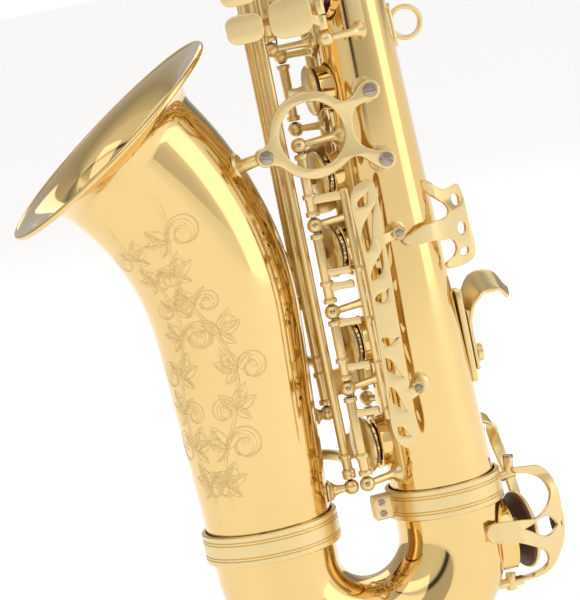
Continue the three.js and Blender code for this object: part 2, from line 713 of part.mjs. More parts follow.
function rearGuard() {
  const body = join(
    strap(
      [V(-6.5, -17, -103), V(-3, -25, -103), V(14, -25, -102), V(28, -14, -102), V(37, -4, -102)],
      7.5, 1.8,
    ),
    strap([V(14, -13, -75), V(20, -15, -79), V(29, -9, -86), V(37, -3, -88)], 7, 1.8),
    strap([V(19, -11, -118), V(25, -12, -119), V(31, -7, -119), V(37, -3, -119)], 6, 1.8),
    strap([V(36, -3.6, -84), V(38, -2.6, -102), V(37, -2.8, -122)], 5, 1.8, V(1, 0.3, 0)),
  );
  return cut(body, tubeSeat);
}
function lowCGuard() {
  const body = join(
    rod(V(26, 0, bodyClampZ), V(36, 0, bodyClampZ + 1), 2.6, undefined, 6),
    strap(
      [
        V(34, 0, bodyClampZ + 1), V(47, 0, bodyClampZ - 1), V(54.5, 0, lowCZ + 9), V(53, 0, lowCZ - 6),
        V(43, 0, lowCZ - 22), V(29, 0, lowCZ - 25),
      ],
      5, 2, Y, 12,
    ),
    rod(V(5, 0, lowCZ - 25), V(30, 0, lowCZ - 25.5), 2.4),
    strap(
      [
        V(54, 0, lowCZ), V(50, -18, lowCZ + 3), V(36, -29, lowCZ + 5), V(14, -24, lowCZ + 6),
        V(8, -18, lowCZ + 6),
      ],
      9, 2, Z, 8,
    ),
  );
  const clampSeat = rod(V(0, 0, bodyClampZ - 8), V(0, 0, bodyClampZ + 8), clampOuter, undefined, 32);
  return cut(body, bowSeat, tubeSeat, clampSeat);
}
const clampOuter = tubeRadius(tubeBottom) + 0.4 + clampReach + 2 * gap;
function bellKeyGuard() {
  const outwards = bellHoles.lowB.direction;
  const sideways = outwards.clone().cross(Z).multiplyScalar(-1);
  const reach = bellHoles.lowB.top + 19;
  const far = 27;
  const place = (z, out, side) =>
    bellAt(z).centre.clone().addScaledVector(outwards, out).addScaledVector(sideways, side);
  const rail = (z) => {
    const path = [place(z, 22, far + 4), place(z, 46, far + 3), place(z, reach, 14), place(z, reach, -12)];
    return strap(path, 7, 2.2, Z, 8);
  };
  const bar = strap([-75, -130, -185].map((z) => place(z, reach, 8)), 8, 2.2, sideways, 6);
  const rails = [-77, -130.5, -183].map(rail);
  return cut(join(bar, rails), bellSeat);
}
function strapRing() {
  const ring = new THREE.TorusGeometry(strapRingRadius, strapRingWire, 6, 16);
  ring.rotateX(Math.PI / 2).translate(strapRingReach, 0, 0);
  const foot = block(V(tubeRadiusAtRing, 0, 0), 5, 7, 22).intersect(bodyLathe(gap + 1.5, -12, 12));
  const stem = rod(V(tubeRadiusAtRing - 1, 0, 0), V(strapRingReach - strapRingRadius + 0.6, 0, 0), 3, 2.4, 8);
  const eye = disc(V(strapRingReach, -8, 0), Y, strapRingRadius, 16);
  return cut(join(solid(ring), foot, cut(stem, eye)), tubeSeat);
}
const hookZ = -157;
function thumbHookPlate() {
  const foot = block(V(tubeRadius(hookZ) + 1.4, 0, hookZ), 3.6, 13, 46);
  const screwHole = rod(V(20, 0, hookZ - 10), V(40, 0, hookZ - 10), 2, undefined, 10);
  return cut(foot, tubeSeat, screwHole);
}
const hookPlateFace = tubeRadius(hookZ) + 1.4 + 1.8;
function thumbHook() {
  const face = hookPlateFace + gap + 1;
  const slider = block(V(face, 0, hookZ - 3), 2, 11, 30);
  const hook = strap(
    [
      V(face, 0, hookZ + 8), V(face + 3, 0, hookZ + 16), V(face + 9, 0, hookZ + 24),
      V(face + 18, 0, hookZ + 22), V(face + 23, 0, hookZ + 16),
    ],
    17, 2.4, Y,
  );
  return cut(join(slider, hook), rod(V(20, 0, hookZ - 10), V(40, 0, hookZ - 10), 2.2, undefined, 10));
}
function thumbHookScrew() {
  const face = hookPlateFace + gap + 2;
  return join(
    rod(V(tubeRadius(hookZ) + 2, 0, hookZ - 10), V(face + 1, 0, hookZ - 10), 1.6),
    disc(V(face + gap, 0, hookZ - 10), V(1, 0, 0), 4.5, 3.4, 12),
  );
}

// The bell brace: a ring with two arms to the body and one to the bell.
const braceY = -30;
const braceThickness = 3;
const braceCentre = V(-36.3, braceY, -42);
const braceFeet = [V(-4.7, 0, -26.8), V(-3.4, 0, -60.8)];
const braceEye = V(-60.5, 0, -48);
const screwHoleRadius = 2;
const eyeAt = (p, radius) =>
  disc(V(p.x, braceY - braceThickness / 2, p.z), Y, radius, braceThickness, 14);
function bellBrace() {
  const ring = new THREE.Shape().absarc(braceCentre.x, braceCentre.z, 21, 0, 2 * Math.PI);
  ring.holes.push(new THREE.Path().absarc(braceCentre.x, braceCentre.z, 16, 0, 2 * Math.PI));
  const arm = (p, from) => {
    const path = [from, V((from.x + p.x) / 2, braceY, (from.z + p.z) / 2), V(p.x, braceY, p.z)];
    return strap(path, braceThickness - 0.2, 6, Y);
  };
  const armRoot = (p) => V(-17.5, braceY, THREE.MathUtils.lerp(braceCentre.z, p.z, 0.35));
  const feet = braceFeet.map((p) => [arm(p, armRoot(p)), eyeAt(p, 5)]);
  const body = join(
    plateXZ(ring, braceY, braceThickness, 14),
    feet.flat(),
    arm(braceEye, V(-56, braceY, -46)),
    eyeAt(braceEye, 4.6),
  );
  const screws = [...braceFeet, braceEye];
  return cut(body, screws.map((p) => disc(V(p.x, braceY - 5, p.z), Y, screwHoleRadius, 10, 10)));
}
const braceBack = braceY + braceThickness / 2 + gap;
function braceFoot(p) {
  const column = rod(V(p.x, braceBack, p.z), V(p.x, -12, p.z), 4.2, 5.5, 12);
  return cut(column, disc(V(p.x, braceBack - 1, p.z), Y, screwHoleRadius, 6, 8));
}
function braceStud() {
  const { centre } = bellAt(-58);
  const head = V(braceEye.x, braceBack, braceEye.z);
  const neckEnd = V(head.x, head.y + 5, head.z);
  const stalk = [rod(head, neckEnd, 4.2, undefined, 12), ball(neckEnd, 4.2), rod(neckEnd, centre, 2.8, 6, 10)];
  return cut(join(stalk), bellSeat, disc(V(head.x, head.y - 1, head.z), Y, screwHoleRadius, 4, 10));
}
function braceScrew(p) {
  const face = braceY - braceThickness / 2 - gap;
  const head = disc(V(p.x, face - 1.8, p.z), Y, 3.5, 1.8, 14);
  const shank = disc(V(p.x, face - 0.2, p.z), Y, screwHoleRadius - gap, braceThickness + gap + 2.4, 8);
  return cut(join(head, shank), block(V(p.x, face - 1.8, p.z), 8, 1.2, 0.8));
}

// ---------------------------------------------------------------- neck, mouthpiece and octave keys
const receiverTop = tubeTop + tenonLength + 2;
function neckReceiver() {
  const low = tubeTop - 9;
  const inner = tenonRadius + gap;
  const seat = tubeRadius(low) + gap;
  const outer = inner + receiverWall;
  const profile = [
    [seat, low], [seat + 1.6, low], [outer, tubeTop], [outer, receiverTop - 3],
    [outer + 1.2, receiverTop - 3], [outer + 1.2, receiverTop], [inner, receiverTop],
    [inner, tubeTop + gap], [seat, tubeTop + gap], [seat, low],
  ];
  const lugs = block(V(0, outer + 2.4, tubeTop + 12), 9, 7, 8);
  const socket = rod(V(0, 0, tubeTop), V(0, 0, receiverTop), inner + 0.2, undefined, 20);
  const screw = rod(V(-8, outer + 3.2, tubeTop + 12), V(8, outer + 3.2, tubeTop + 12), screwHoleRadius);
  return cut(join(lathe(profile, V(0, 0, 0), Z, 20), cut(lugs, socket)), screw);
}
const neckStart = V(0, 0, tubeTop + 1);
const neckCurve = lineArcLine(neckStart, 90, tenonLength + 14, neckBendRadius, -neckBend, neckStraight);
const neckLength = neckCurve.getLength();
const neckEnd = neckCurve.getPointAt(1);
const neckAxis = neckCurve.getTangentAt(1);
const collarAt = receiverTop + gap - neckStart.z; // distance along the neck of its collar
const neckRadiusAt = (s) => {
  const share = Math.max(0, s - collarAt) / (neckLength - collarAt);
  return THREE.MathUtils.lerp(tenonRadius, neckEndRadius, share);
};
function neckTube() {
  const steps = [0.25, 0.4, 0.55, 0.7, 0.85].map((share) => share * neckLength);
  const outer = [
    [tenonRadius, 0], [tenonRadius, collarAt], [tenonRadius + 2.6, collarAt],
    [tenonRadius + 2.6, collarAt + 4],
    [tenonRadius, collarAt + 4.5], ...steps.map((s) => [neckRadiusAt(s), s]), [neckEndRadius, neckLength],
  ];
  const inner = [...steps, neckLength].toReversed().map((s) => [neckRadiusAt(s) - wall, s]);
  return bent([...outer, ...inner, [tenonRadius - wall, 0], outer[0]], neckCurve, 16);
}
function neckCork() {
  const start = neckEnd.clone().addScaledVector(neckAxis, -1 - corkLength);
  const [root, tip] = [neckLength - 1 - corkLength, neckLength - 1].map((s) => neckRadiusAt(s) + gap);
  const profile = [[root, 0], [corkRadius, 0.6], [corkRadius, corkLength], [tip, corkLength], [root, 0]];
  return lathe(profile, start, neckAxis, 18);
}
const reedSeat = 8.6; // from the mouthpiece's axis to its flat table
const reedHalfWidth = 7.5;
const beakSlope = 17; // degrees
const tableStart = mouthpieceOnCork + 1; // the table begins past the end of the cork
const fromShank = (s) => neckEnd.clone().addScaledVector(neckAxis, s - mouthpieceOnCork);
function mouthpiece() {
  const start = fromShank(0);
  const bore = corkRadius + gap;
  const boreEnd = mouthpieceOnCork + 0.5;
  const r = mouthpieceRadius;
  const profile = [
    [0, 0], [r, 0], [r + 0.6, 2], [r, 5], [r, mouthpieceLength * 0.45],
    [r * 0.86, mouthpieceLength * 0.75], [4.5, mouthpieceLength], [0, mouthpieceLength],
  ];
  const outside = lathe(profile, start, neckAxis, 18);
  const inside = join(
    lathe([[0, -1], [bore, -1], [bore, boreEnd], [0, boreEnd]], start, neckAxis, 18),
    rod(fromShank(boreEnd - 1), fromShank(mouthpieceLength - 20), chamberRadius, undefined, 12),
  );
  return cut(outside, inside, mouthpieceBlock(1), mouthpieceBlock(-1));
}
// Blocks that cut the mouthpiece's flat table under the reed and its sloping beak.
function mouthpieceBlock(side) {
  const shape = new THREE.BoxGeometry(mouthpieceLength, 40, 20);
  if (side < 0) {
    shape.translate(mouthpieceLength / 2 + tableStart, 0, -10 - reedSeat);
  } else {
    shape
      .translate(mouthpieceLength / 2, 0, 10)
      .rotateY(rad(beakSlope))
      .translate(mouthpieceLength * 0.52, 0, mouthpieceRadius * 0.98);
  }
  return solid(placeOnNeck(shape));
}
// Places a geometry drawn along +X, with the reed's side below, on the mouthpiece's axis.
function placeOnNeck(shape) {
  const start = fromShank(0);
  return shape.rotateY(-Math.atan2(neckAxis.z, neckAxis.x)).translate(start.x, start.y, start.z);
}
function reed() {
  const outline = new THREE.Shape();
  outline.moveTo(tableStart + 1, -reedSeat - gap);
  outline.lineTo(mouthpieceLength - 0.5, -reedSeat - gap);
  outline.lineTo(mouthpieceLength - 0.5, -reedSeat - gap - 0.3);
  outline.lineTo(tableStart + 26, -reedSeat - gap - 2.4);
  outline.lineTo(tableStart + 1, -reedSeat - gap - 2.4);
  const flat = new THREE.ExtrudeGeometry(outline, { depth: 2 * reedHalfWidth, bevelEnabled: false });
  return solid(placeOnNeck(flat.translate(0, 0, -reedHalfWidth).rotateX(Math.PI / 2)));
}
const ligatureFrom = tableStart + 4;
const ligatureLength = 20;
const ligatureSlack = 0.75; // the sleeve hangs this far off centre, round the reed
function ligature() {
  const r = mouthpieceRadius + ligatureSlack + gap;
  const end = ligatureFrom + ligatureLength;
  const profile = [[r, ligatureFrom], [r + 1.2, ligatureFrom], [r + 1.2, end], [r, end], [r, ligatureFrom]];
  const sleeve = turnedProfile(profile, 20).rotateZ(-Math.PI / 2).translate(0, 0, -ligatureSlack);
  const screws = [0.25, 0.75].map((share) => {
    const screw = new THREE.CylinderGeometry(1.4, 1.4, 22, 8).rotateX(Math.PI / 2);
    screw.rotateX(Math.PI / 2).translate(ligatureFrom + share * ligatureLength, 0, -r - 2.6);
    return solid(placeOnNeck(screw));
  });
  const lug = new THREE.BoxGeometry(ligatureLength, 8, 5);
  lug.translate(ligatureFrom + ligatureLength / 2, 0, -r - 2.4);
  return join(solid(placeOnNeck(sleeve)), solid(placeOnNeck(lug)), screws);
}
// The neck's octave key: a loop round the neck's foot, an arm over its back and a pad on the octave pip.
const octaveHinge = 0.42; // share of the neck's length at which the key turns
const backOfNeck = (share, lift) => {
  const tangent = neckCurve.getTangentAt(share);
  const outwards = new THREE.Vector3().crossVectors(Y, tangent).multiplyScalar(-1);
  return neckCurve.getPointAt(share).addScaledVector(outwards, neckRadiusAt(share * neckLength) + lift);
};
function neckOctaveKey() {
  const loopZ = receiverTop + 12;
  const loop = lathe([[16.4, -2], [18.6, -2], [18.6, 2], [16.4, 2], [16.4, -2]], V(0, 0, loopZ), Z, 24);
  const overNeck = [0.27, 0.35, octaveHinge, 0.5, 0.58].map((share) => backOfNeck(share, 5.6));
  const arm = strap([V(-17.5, 0, loopZ), ...overNeck], 5, 2, Y);
  const pivot = backOfNeck(octaveHinge, 5.6);
  const pad = backOfNeck(0.58, 3.2);
  const padAxis = backOfNeck(0.58, 7).sub(pad).normalize();
  const hinge = rod(V(pivot.x, -6, pivot.z), V(pivot.x, 6, pivot.z), 2.2, undefined, 6);
  return join(loop, arm, disc(pad, padAxis, 4.2, 2.6, 12), hinge);
}
const octaveLeverZ = 78;
function thumbOctaveLever() {
  const z = octaveLeverZ;
  const x = tubeRadius(z) + 7.5;
  return join(
    rod(V(x, -7, z), V(x, 7, z), 2.2, undefined, 6),
    strap([V(x, 0, z), V(x + 1.5, 0, z - 9), V(x - 0.5, 0, z - 20)], 13, 2, Y),
    strap([V(x, 0, z), V(x - 1, 0, z + 15), V(x - 1.6, 0, z + 30)], 5, 2, Y),
  );
}
function octavePosts() {
  const z = octaveLeverZ;
  const x = tubeRadius(z) + 7.5;
  const foot = block(V(tubeRadius(z), 0, z), 12, 26, 9).intersect(bodyLathe(gap + 1.4, z - 6, z + 6));
  const ears = [-1, 1].map((side) => {
    const head = V(x, side * (7 + endPlay + 1.6), z);
    const boss = rod(V(x, head.y - 1.6, z), V(x, head.y + 1.6, z), 3, undefined, 10);
    return join(rod(V(10, head.y, z), head, 2, 1.8, 8), boss);
  });
  return join(foot, ears);
}

// ---------------------------------------------------------------- the object
const pieces = [
  ["body_tube", bodyTube, brass],
  ["bow", bow, brass],
  ["bell", bell, brass],
  ["body_bow_clamp", bodyBowClamp, brass],
  ["bell_bow_band", bellBowBand, brass],
  ["bell_brace", bellBrace, brass],
  ["bell_brace_stud", braceStud, brass],
  ["brace_screw_upper", () => braceScrew(braceFeet[0]), steel],
  ["brace_screw_lower", () => braceScrew(braceFeet[1]), steel],
  ["strap_ring", strapRing, brass],
  ["thumb_hook_plate", thumbHookPlate, brass],
  ["thumb_hook", thumbHook, brass],
  ["thumb_hook_screw", thumbHookScrew, brass],
  ["clothing_guard", clothingGuard, brass],
  ["rear_guard", rearGuard, brass],
  ["low_c_guard", lowCGuard, brass],
  ["bell_key_guard", bellKeyGuard, brass],
  ["rh_stack_rib", rightStackRib, brass],
  ["rh_stack_rod", () => stackRod(lines.rightStack, -216.5, -43.6), steel],
  ["key_f_sharp", keyFSharp, brass],
  ["key_f", () => rightKey(bodyHoles.f, 1, [-109, -116]), brass],
  ["key_e", () => rightKey(bodyHoles.e, 2, [-134, -156]), brass],
  ["key_d", () => rightKey(bodyHoles.d, 3, [-179]), brass],
  ["lh_stack_rib", leftStackRib, brass],
  ["lh_stack_rod", () => stackRod(lines.leftStack, -2.6, 126.6), steel],
  ["key_g", () => leftKey(bodyHoles.g, 0), brass],
  ["key_a", () => leftKey(bodyHoles.a, 1), brass],
  ["key_b", () => leftKey(bodyHoles.b, 2), brass],
  ["key_c_small", () => leftKey(bodyHoles.c, 3), brass],
  ["key_g_sharp", gSharpKey, brass],
  ["table_rib", tableRib, brass],
  ["lever_g_sharp", () => tableLever("gSharp", -37, 15, 21, 19, false), brass],
  ["lever_low_b", () => tableLever("lowB", -59.5, 14, 18, 14, true), brass],
  ["lever_low_b_flat", () => tableLever("lowBFlat", -59.5, 32, 18, 14, true), brass],
  ["lever_c_sharp", () => tableLever("lowCSharp", -37, 35, 21, 16, false), brass],
  ["key_low_b_flat", () => bellKey("lowBFlat"), brass],
  ["key_low_b", () => bellKey("lowB"), brass],
  ["key_low_c_sharp", () => bellKey("lowCSharp"), brass],
  ["bell_key_rib", bellKeyRib, brass],
  ["long_rod_bracket", longRodBracket, brass],
  ["side_key_rib", sideKeyRib, brass],
  ["side_key_b_flat", () => sideKey("sideBFlat"), brass],
  ["side_key_c", () => sideKey("sideC"), brass],
  ["side_key_e", () => sideKey("sideE"), brass],
  ["palm_key_rib", palmRib, brass],
  ["palm_key_d", () => palmKey(bodyHoles.palmD, 0), brass],
  ["palm_key_e_flat", () => palmKey(bodyHoles.palmEFlat, 1), brass],
  ["palm_key_f", () => palmKey(bodyHoles.palmF, 2), brass],
  ["low_key_rib", lowKeyRib, brass],
  ["key_e_flat", eFlatKey, brass],
  ["lever_low_c", lowCLever, brass],
  ["key_low_c", lowCKey, brass],
  ["thumb_octave_lever", thumbOctaveLever, brass],
  ["neck_receiver", neckReceiver, brass],
  ["neck_tube", neckTube, brass],
  ["neck_cork", neckCork, corkColour],
  ["neck_octave_key", neckOctaveKey, brass],
  ["mouthpiece", mouthpiece, ebonite],
  ["ligature", ligature, brass],
  ["reed", reed, cane],
];

function mesh(name, make, finish) {
  const { vertProperties, triVerts } = make().getMesh();
  const geometry = new THREE.BufferGeometry();
  geometry.setAttribute("position", new THREE.BufferAttribute(vertProperties, 3));
  geometry.setIndex(new THREE.BufferAttribute(triVerts, 1));
  geometry.computeVertexNormals();
  const piece = new THREE.Mesh(geometry, new THREE.MeshStandardMaterial(finish));
  piece.name = name;
  return piece;
}

const saxophone = new THREE.Group();
saxophone.position.set(-strapRingReach, 0, 0);
for (const [name, make, finish] of pieces) saxophone.add(mesh(name, make, finish));
export default saxophone;
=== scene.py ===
"""An alto saxophone in lacquered brass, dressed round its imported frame.

Lengths are in millimetres in a drawing frame whose Z axis is the body tube's own axis, level with the
strap ring at z = 0. -X is the way the bell faces and -Y is the player's left. Forge.piece() moves the
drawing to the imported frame, in metres, so every finished object sits at the origin with its place in its
mesh.
"""
import json
import logging
import math
from dataclasses import dataclass, field
from enum import Enum

import bmesh
import bpy
import numpy as np
from mathutils import Matrix, Vector


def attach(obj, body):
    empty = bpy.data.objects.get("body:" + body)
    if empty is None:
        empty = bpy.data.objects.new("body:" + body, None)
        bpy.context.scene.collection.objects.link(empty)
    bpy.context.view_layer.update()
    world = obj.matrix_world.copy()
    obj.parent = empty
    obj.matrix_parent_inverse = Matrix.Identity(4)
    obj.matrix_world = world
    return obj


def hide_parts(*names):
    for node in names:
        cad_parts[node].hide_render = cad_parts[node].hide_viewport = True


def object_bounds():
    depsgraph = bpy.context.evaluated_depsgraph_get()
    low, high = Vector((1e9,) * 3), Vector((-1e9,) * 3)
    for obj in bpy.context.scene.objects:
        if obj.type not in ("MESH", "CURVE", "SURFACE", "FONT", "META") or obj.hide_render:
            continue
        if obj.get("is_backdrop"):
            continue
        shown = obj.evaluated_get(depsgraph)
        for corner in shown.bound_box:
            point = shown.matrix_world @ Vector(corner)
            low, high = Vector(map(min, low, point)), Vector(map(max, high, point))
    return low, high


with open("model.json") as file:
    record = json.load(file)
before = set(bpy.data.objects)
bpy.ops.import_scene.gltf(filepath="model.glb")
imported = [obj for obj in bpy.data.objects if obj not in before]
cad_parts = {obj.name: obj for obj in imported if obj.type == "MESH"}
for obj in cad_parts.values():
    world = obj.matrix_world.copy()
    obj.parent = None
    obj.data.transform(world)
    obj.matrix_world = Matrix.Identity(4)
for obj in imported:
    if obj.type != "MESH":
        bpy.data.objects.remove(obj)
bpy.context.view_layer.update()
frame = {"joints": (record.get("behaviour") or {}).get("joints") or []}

Array = np.ndarray
LOG = logging.getLogger("saxophone")
MM = 0.001
AXIS_X = -26.8  # from the strap ring's centre to the body tube's axis
GAP = 0.35  # air that the frame leaves between pieces
PLATE = 2.2  # thickness of guards, touches and other bent plates
WELD = 1e-6  # corners closer than this, in metres, are one
CREASE = 38  # degrees between faces from which their edge stays sharp
SCREW_VIEW = (-0.19, -0.97, 0.13)  # the way that the lower stack's post screws face
X, Y, Z = np.eye(3)


def vec(x: float, y: float, z: float) -> Array:
    """A point or direction as an array."""
    return np.array([x, y, z], float)


def unit(v: Array) -> Array:
    """Vectors along the last axis, made one long."""
    return v / np.maximum(np.linalg.norm(v, axis=-1, keepdims=True), 1e-12)


def circle(count: int) -> Array:
    """Angles evenly round a circle."""
    return np.linspace(0, 2 * math.pi, count, endpoint=False)


def bearing(line: Array) -> float:
    """Where an upright line stands round the body tube, in degrees: 0 is the front, 90 the player's left."""
    return math.degrees(math.atan2(-line[1], -line[0]))


# ------------------------------ surfaces
@dataclass
class Sheet:
    """A grid of points, rows by columns, that may close on itself either way."""

    points: Array
    loop_rows: bool = False
    loop_columns: bool = True

    def faces(self) -> Array:
        """Four-cornered faces between neighbouring rows and columns, as vertex numbers.

        Returns:
            One row of four numbers for each face.
        """
        rows, columns = self.points.shape[:2]
        r = np.arange(rows if self.loop_rows else rows - 1)[:, None]
        c = np.arange(columns if self.loop_columns else columns - 1)[None, :]
        r2, c2 = (r + 1) % rows, (c + 1) % columns
        corners = [r * columns + c, r * columns + c2, r2 * columns + c2, r2 * columns + c]
        return np.stack(np.broadcast_arrays(*corners), -1).reshape(-1, 4)


def turn_about(axis: Array, degrees: float) -> Array:
    """The matrix of a turn about an axis through the origin, by Rodrigues' formula.

    Args:
        axis: unit direction.
        degrees: of the turn.
    Returns:
        The matrix, three by three.
    """
    a = math.radians(degrees)
    k = np.array([[0, -axis[2], axis[1]], [axis[2], 0, -axis[0]], [-axis[1], axis[0], 0]])
    return np.eye(3) + math.sin(a) * k + (1 - math.cos(a)) * (k @ k)


def side_axes(direction: Array, hint: Array = Z) -> tuple[Array, Array]:
    """Two unit directions square to a direction, the first as near as it can be to a hint.

    Args:
        direction: that both are square to.
        hint: the way the first should point.
    Returns:
        The two directions.
    """
    d = unit(direction)
    if abs(d @ hint) > 0.98:
        hint = X if abs(d @ X) < 0.9 else Y
    u = unit(hint - d * (d @ hint))
    return u, np.cross(d, u)


def lathe(profile: list[tuple[float, float]], start: Array, direction: Array, sides: int = 32) -> Sheet:
    """A profile of (radius, height) turned about an axis: start + height * direction + radius * (cos, sin).

    Args:
        profile: pairs of radius and height.
        start: the axis's foot.
        direction: of the axis.
        sides: columns of the grid.
    Returns:
        The surface.
    """
    p = np.array(profile, float)
    u, v = side_axes(direction)
    turn = circle(sides)
    ring = np.cos(turn)[:, None] * u + np.sin(turn)[:, None] * v
    points = start + p[:, 1, None, None] * unit(direction) + p[:, 0, None, None] * ring
    return Sheet(points)


def rod(a: Array, b: Array, radius: float, end_radius: float | None = None, sides: int = 20,
        edge: float = 0.25) -> Sheet:
    """A round bar from a to b, its radius changing evenly, with small rounded edges at both ends.

    Args:
        a: middle of the first end.
        b: middle of the other end.
        radius: at a.
        end_radius: at b, or None where it is the same.
        sides: columns of the grid.
        edge: size of the rounded edges.
    Returns:
        The closed surface.
    """
    end = radius if end_radius is None else end_radius
    length = float(np.linalg.norm(b - a))
    e = min(edge, length / 3, radius / 2, end / 2)
    profile = [(0, 0), (radius - e, 0), (radius - e * 0.3, e * 0.3), (radius, e),
               (end, length - e), (end - e * 0.3, length - e * 0.3), (end - e, length), (0, length)]
    return lathe(profile, a, b - a, sides)


def ball(centre: Array, radius: float = 3.8, sides: int = 20) -> Sheet:
    """A ball: radius * (cos latitude, sin latitude), turned about Z.

    Args:
        centre: of the ball.
        radius: of the ball.
        sides: columns of the grid.
    Returns:
        The closed surface.
    """
    lat = np.linspace(-math.pi / 2, math.pi / 2, 13)
    return lathe(list(zip(radius * np.cos(lat), radius * np.sin(lat))), centre, Z, sides)


def smooth_line(points: list[Array], count: int) -> Array:
    """Even steps along a centripetal Catmull-Rom curve through some points.

    Args:
        points: what the curve passes through.
        count: how many points come back.
    Returns:
        The points, three columns.
    """
    p = np.array(points, float)
    p = np.vstack([2 * p[0] - p[1], p, 2 * p[-1] - p[-2]])
    gap = np.sqrt(np.maximum(np.linalg.norm(np.diff(p, axis=0), axis=1), 1e-9))[:, None]
    slope = np.diff(p, axis=0) / gap
    tangent = slope[:-1] - (p[2:] - p[:-2]) / (gap[:-1] + gap[1:]) + slope[1:]
    t = np.linspace(0, 1, 24, endpoint=False)[:, None]
    parts = []
    for i in range(len(points) - 1):
        h, p0, p1 = gap[i + 1], p[i + 1], p[i + 2]
        m0, m1 = tangent[i] * h, tangent[i + 1] * h
        parts.append((2 * t**3 - 3 * t**2 + 1) * p0 + (t**3 - 2 * t**2 + t) * m0
                     + (-2 * t**3 + 3 * t**2) * p1 + (t**3 - t**2) * m1)
    line = np.vstack([*parts, p[-2:-1]])
    run = np.concatenate([[0], np.cumsum(np.linalg.norm(np.diff(line, axis=0), axis=1))])
    even = np.linspace(0, run[-1], count)
    return np.stack([np.interp(even, run, line[:, i]) for i in range(3)], 1)


def strap(points: list[Array], width: float | list[float], thickness: float = 2.4, across: Array = Z,
          steps: int | None = None, roundness: float = 0.35) -> Sheet:
    """A flat bar carried along a smooth line, its section a rounded oblong.

    Section point k is (width/2 * sgn(c)|c|^r, thickness/2 * sgn(s)|s|^r) for c, s the cosine and sine of its
    angle, laid across the line: width along `across` made square to the line, thickness square to both.

    Args:
        points: what the line passes through.
        width: one width, or widths spread evenly along the line.
        thickness: of the bar.
        across: the way its width lies, as nearly as it can.
        steps: rows along the line.
        roundness: 1 gives an oval section and 0 a sharp oblong.
    Returns:
        The closed surface, its ends drawn in to rounded tips.
    """
    steps = steps or 8 * (len(points) - 1) + 1
    line = smooth_line(points, steps)
    tangent = unit(np.gradient(line, axis=0))
    wide = unit(across - tangent * (tangent @ across)[:, None])
    thick = np.cross(tangent, wide)
    share = np.linspace(0, 1, steps)
    widths = np.interp(share, np.linspace(0, 1, np.size(width)), np.atleast_1d(width))
    turn = circle(20) + 0.157
    c = np.sign(np.cos(turn)) * np.abs(np.cos(turn)) ** roundness
    s = np.sign(np.sin(turn)) * np.abs(np.sin(turn)) ** roundness
    section = (widths[:, None, None] / 2 * c[None, :, None] * wide[:, None]
               + thickness / 2 * s[None, :, None] * thick[:, None])
    rows = line[:, None] + section

    def cap(i: int, way: float) -> list[Array]:
        """Three rows that close the end at row i, pushed out one way or the other."""
        push = tangent[i] * way * thickness
        return [line[i] + section[i] * k + push * d for k, d in ((0.94, 0.2), (0.7, 0.32), (0, 0.35))]

    first, last = cap(0, -1), cap(-1, 1)
    return Sheet(np.stack([*first[::-1], *rows, *last]))


@dataclass(frozen=True)
class Spine:
    """A line in the XZ plane that runs straight, turns through an arc and runs straight again."""

    start: Array
    heading: float
    first: float
    radius: float
    turn: float
    last: float

    @property
    def length(self) -> float:
        """The whole length of the line."""
        return self.first + self.radius * math.radians(abs(self.turn)) + self.last

    def at(self, s: Array) -> tuple[Array, Array]:
        """Points and unit tangents at distances along the line.

        Args:
            s: distances, which may run past either end.
        Returns:
            The points and the tangents.
        """
        s = np.atleast_1d(np.asarray(s, float))
        sign = math.copysign(1, self.turn)
        swept = np.clip((s - self.first) / self.radius, 0, math.radians(abs(self.turn)))
        a0 = math.radians(self.heading)
        a = a0 + sign * swept
        zero = np.zeros_like(s)
        tangent = np.stack([np.cos(a), zero, np.sin(a)], 1)
        arc = self.radius * sign * np.stack([np.sin(a) - math.sin(a0), zero, math.cos(a0) - np.cos(a)], 1)
        before = np.minimum(s, self.first)[:, None] * vec(math.cos(a0), 0, math.sin(a0))
        after = np.maximum(s - self.first - self.radius * math.radians(abs(self.turn)), 0)[:, None] * tangent
        return self.start + before + arc + after, tangent


def bent(profile: list[tuple[float, float]], spine: Spine, sides: int = 72) -> Sheet:
    """A profile of (radius, distance) turned about a bent spine: point(s) + radius * (cos * side + sin * Y).

    Args:
        profile: pairs of radius and distance along the spine.
        spine: what it is turned about.
        sides: columns of the grid.
    Returns:
        The surface.
    """
    p = np.array(profile, float)
    centre, tangent = spine.at(p[:, 1])
    side = np.cross(tangent, Y)
    turn = circle(sides)
    ring = np.cos(turn)[None, :, None] * side[:, None] + np.sin(turn)[None, :, None] * Y
    return Sheet(centre[:, None] + p[:, 0, None, None] * ring)


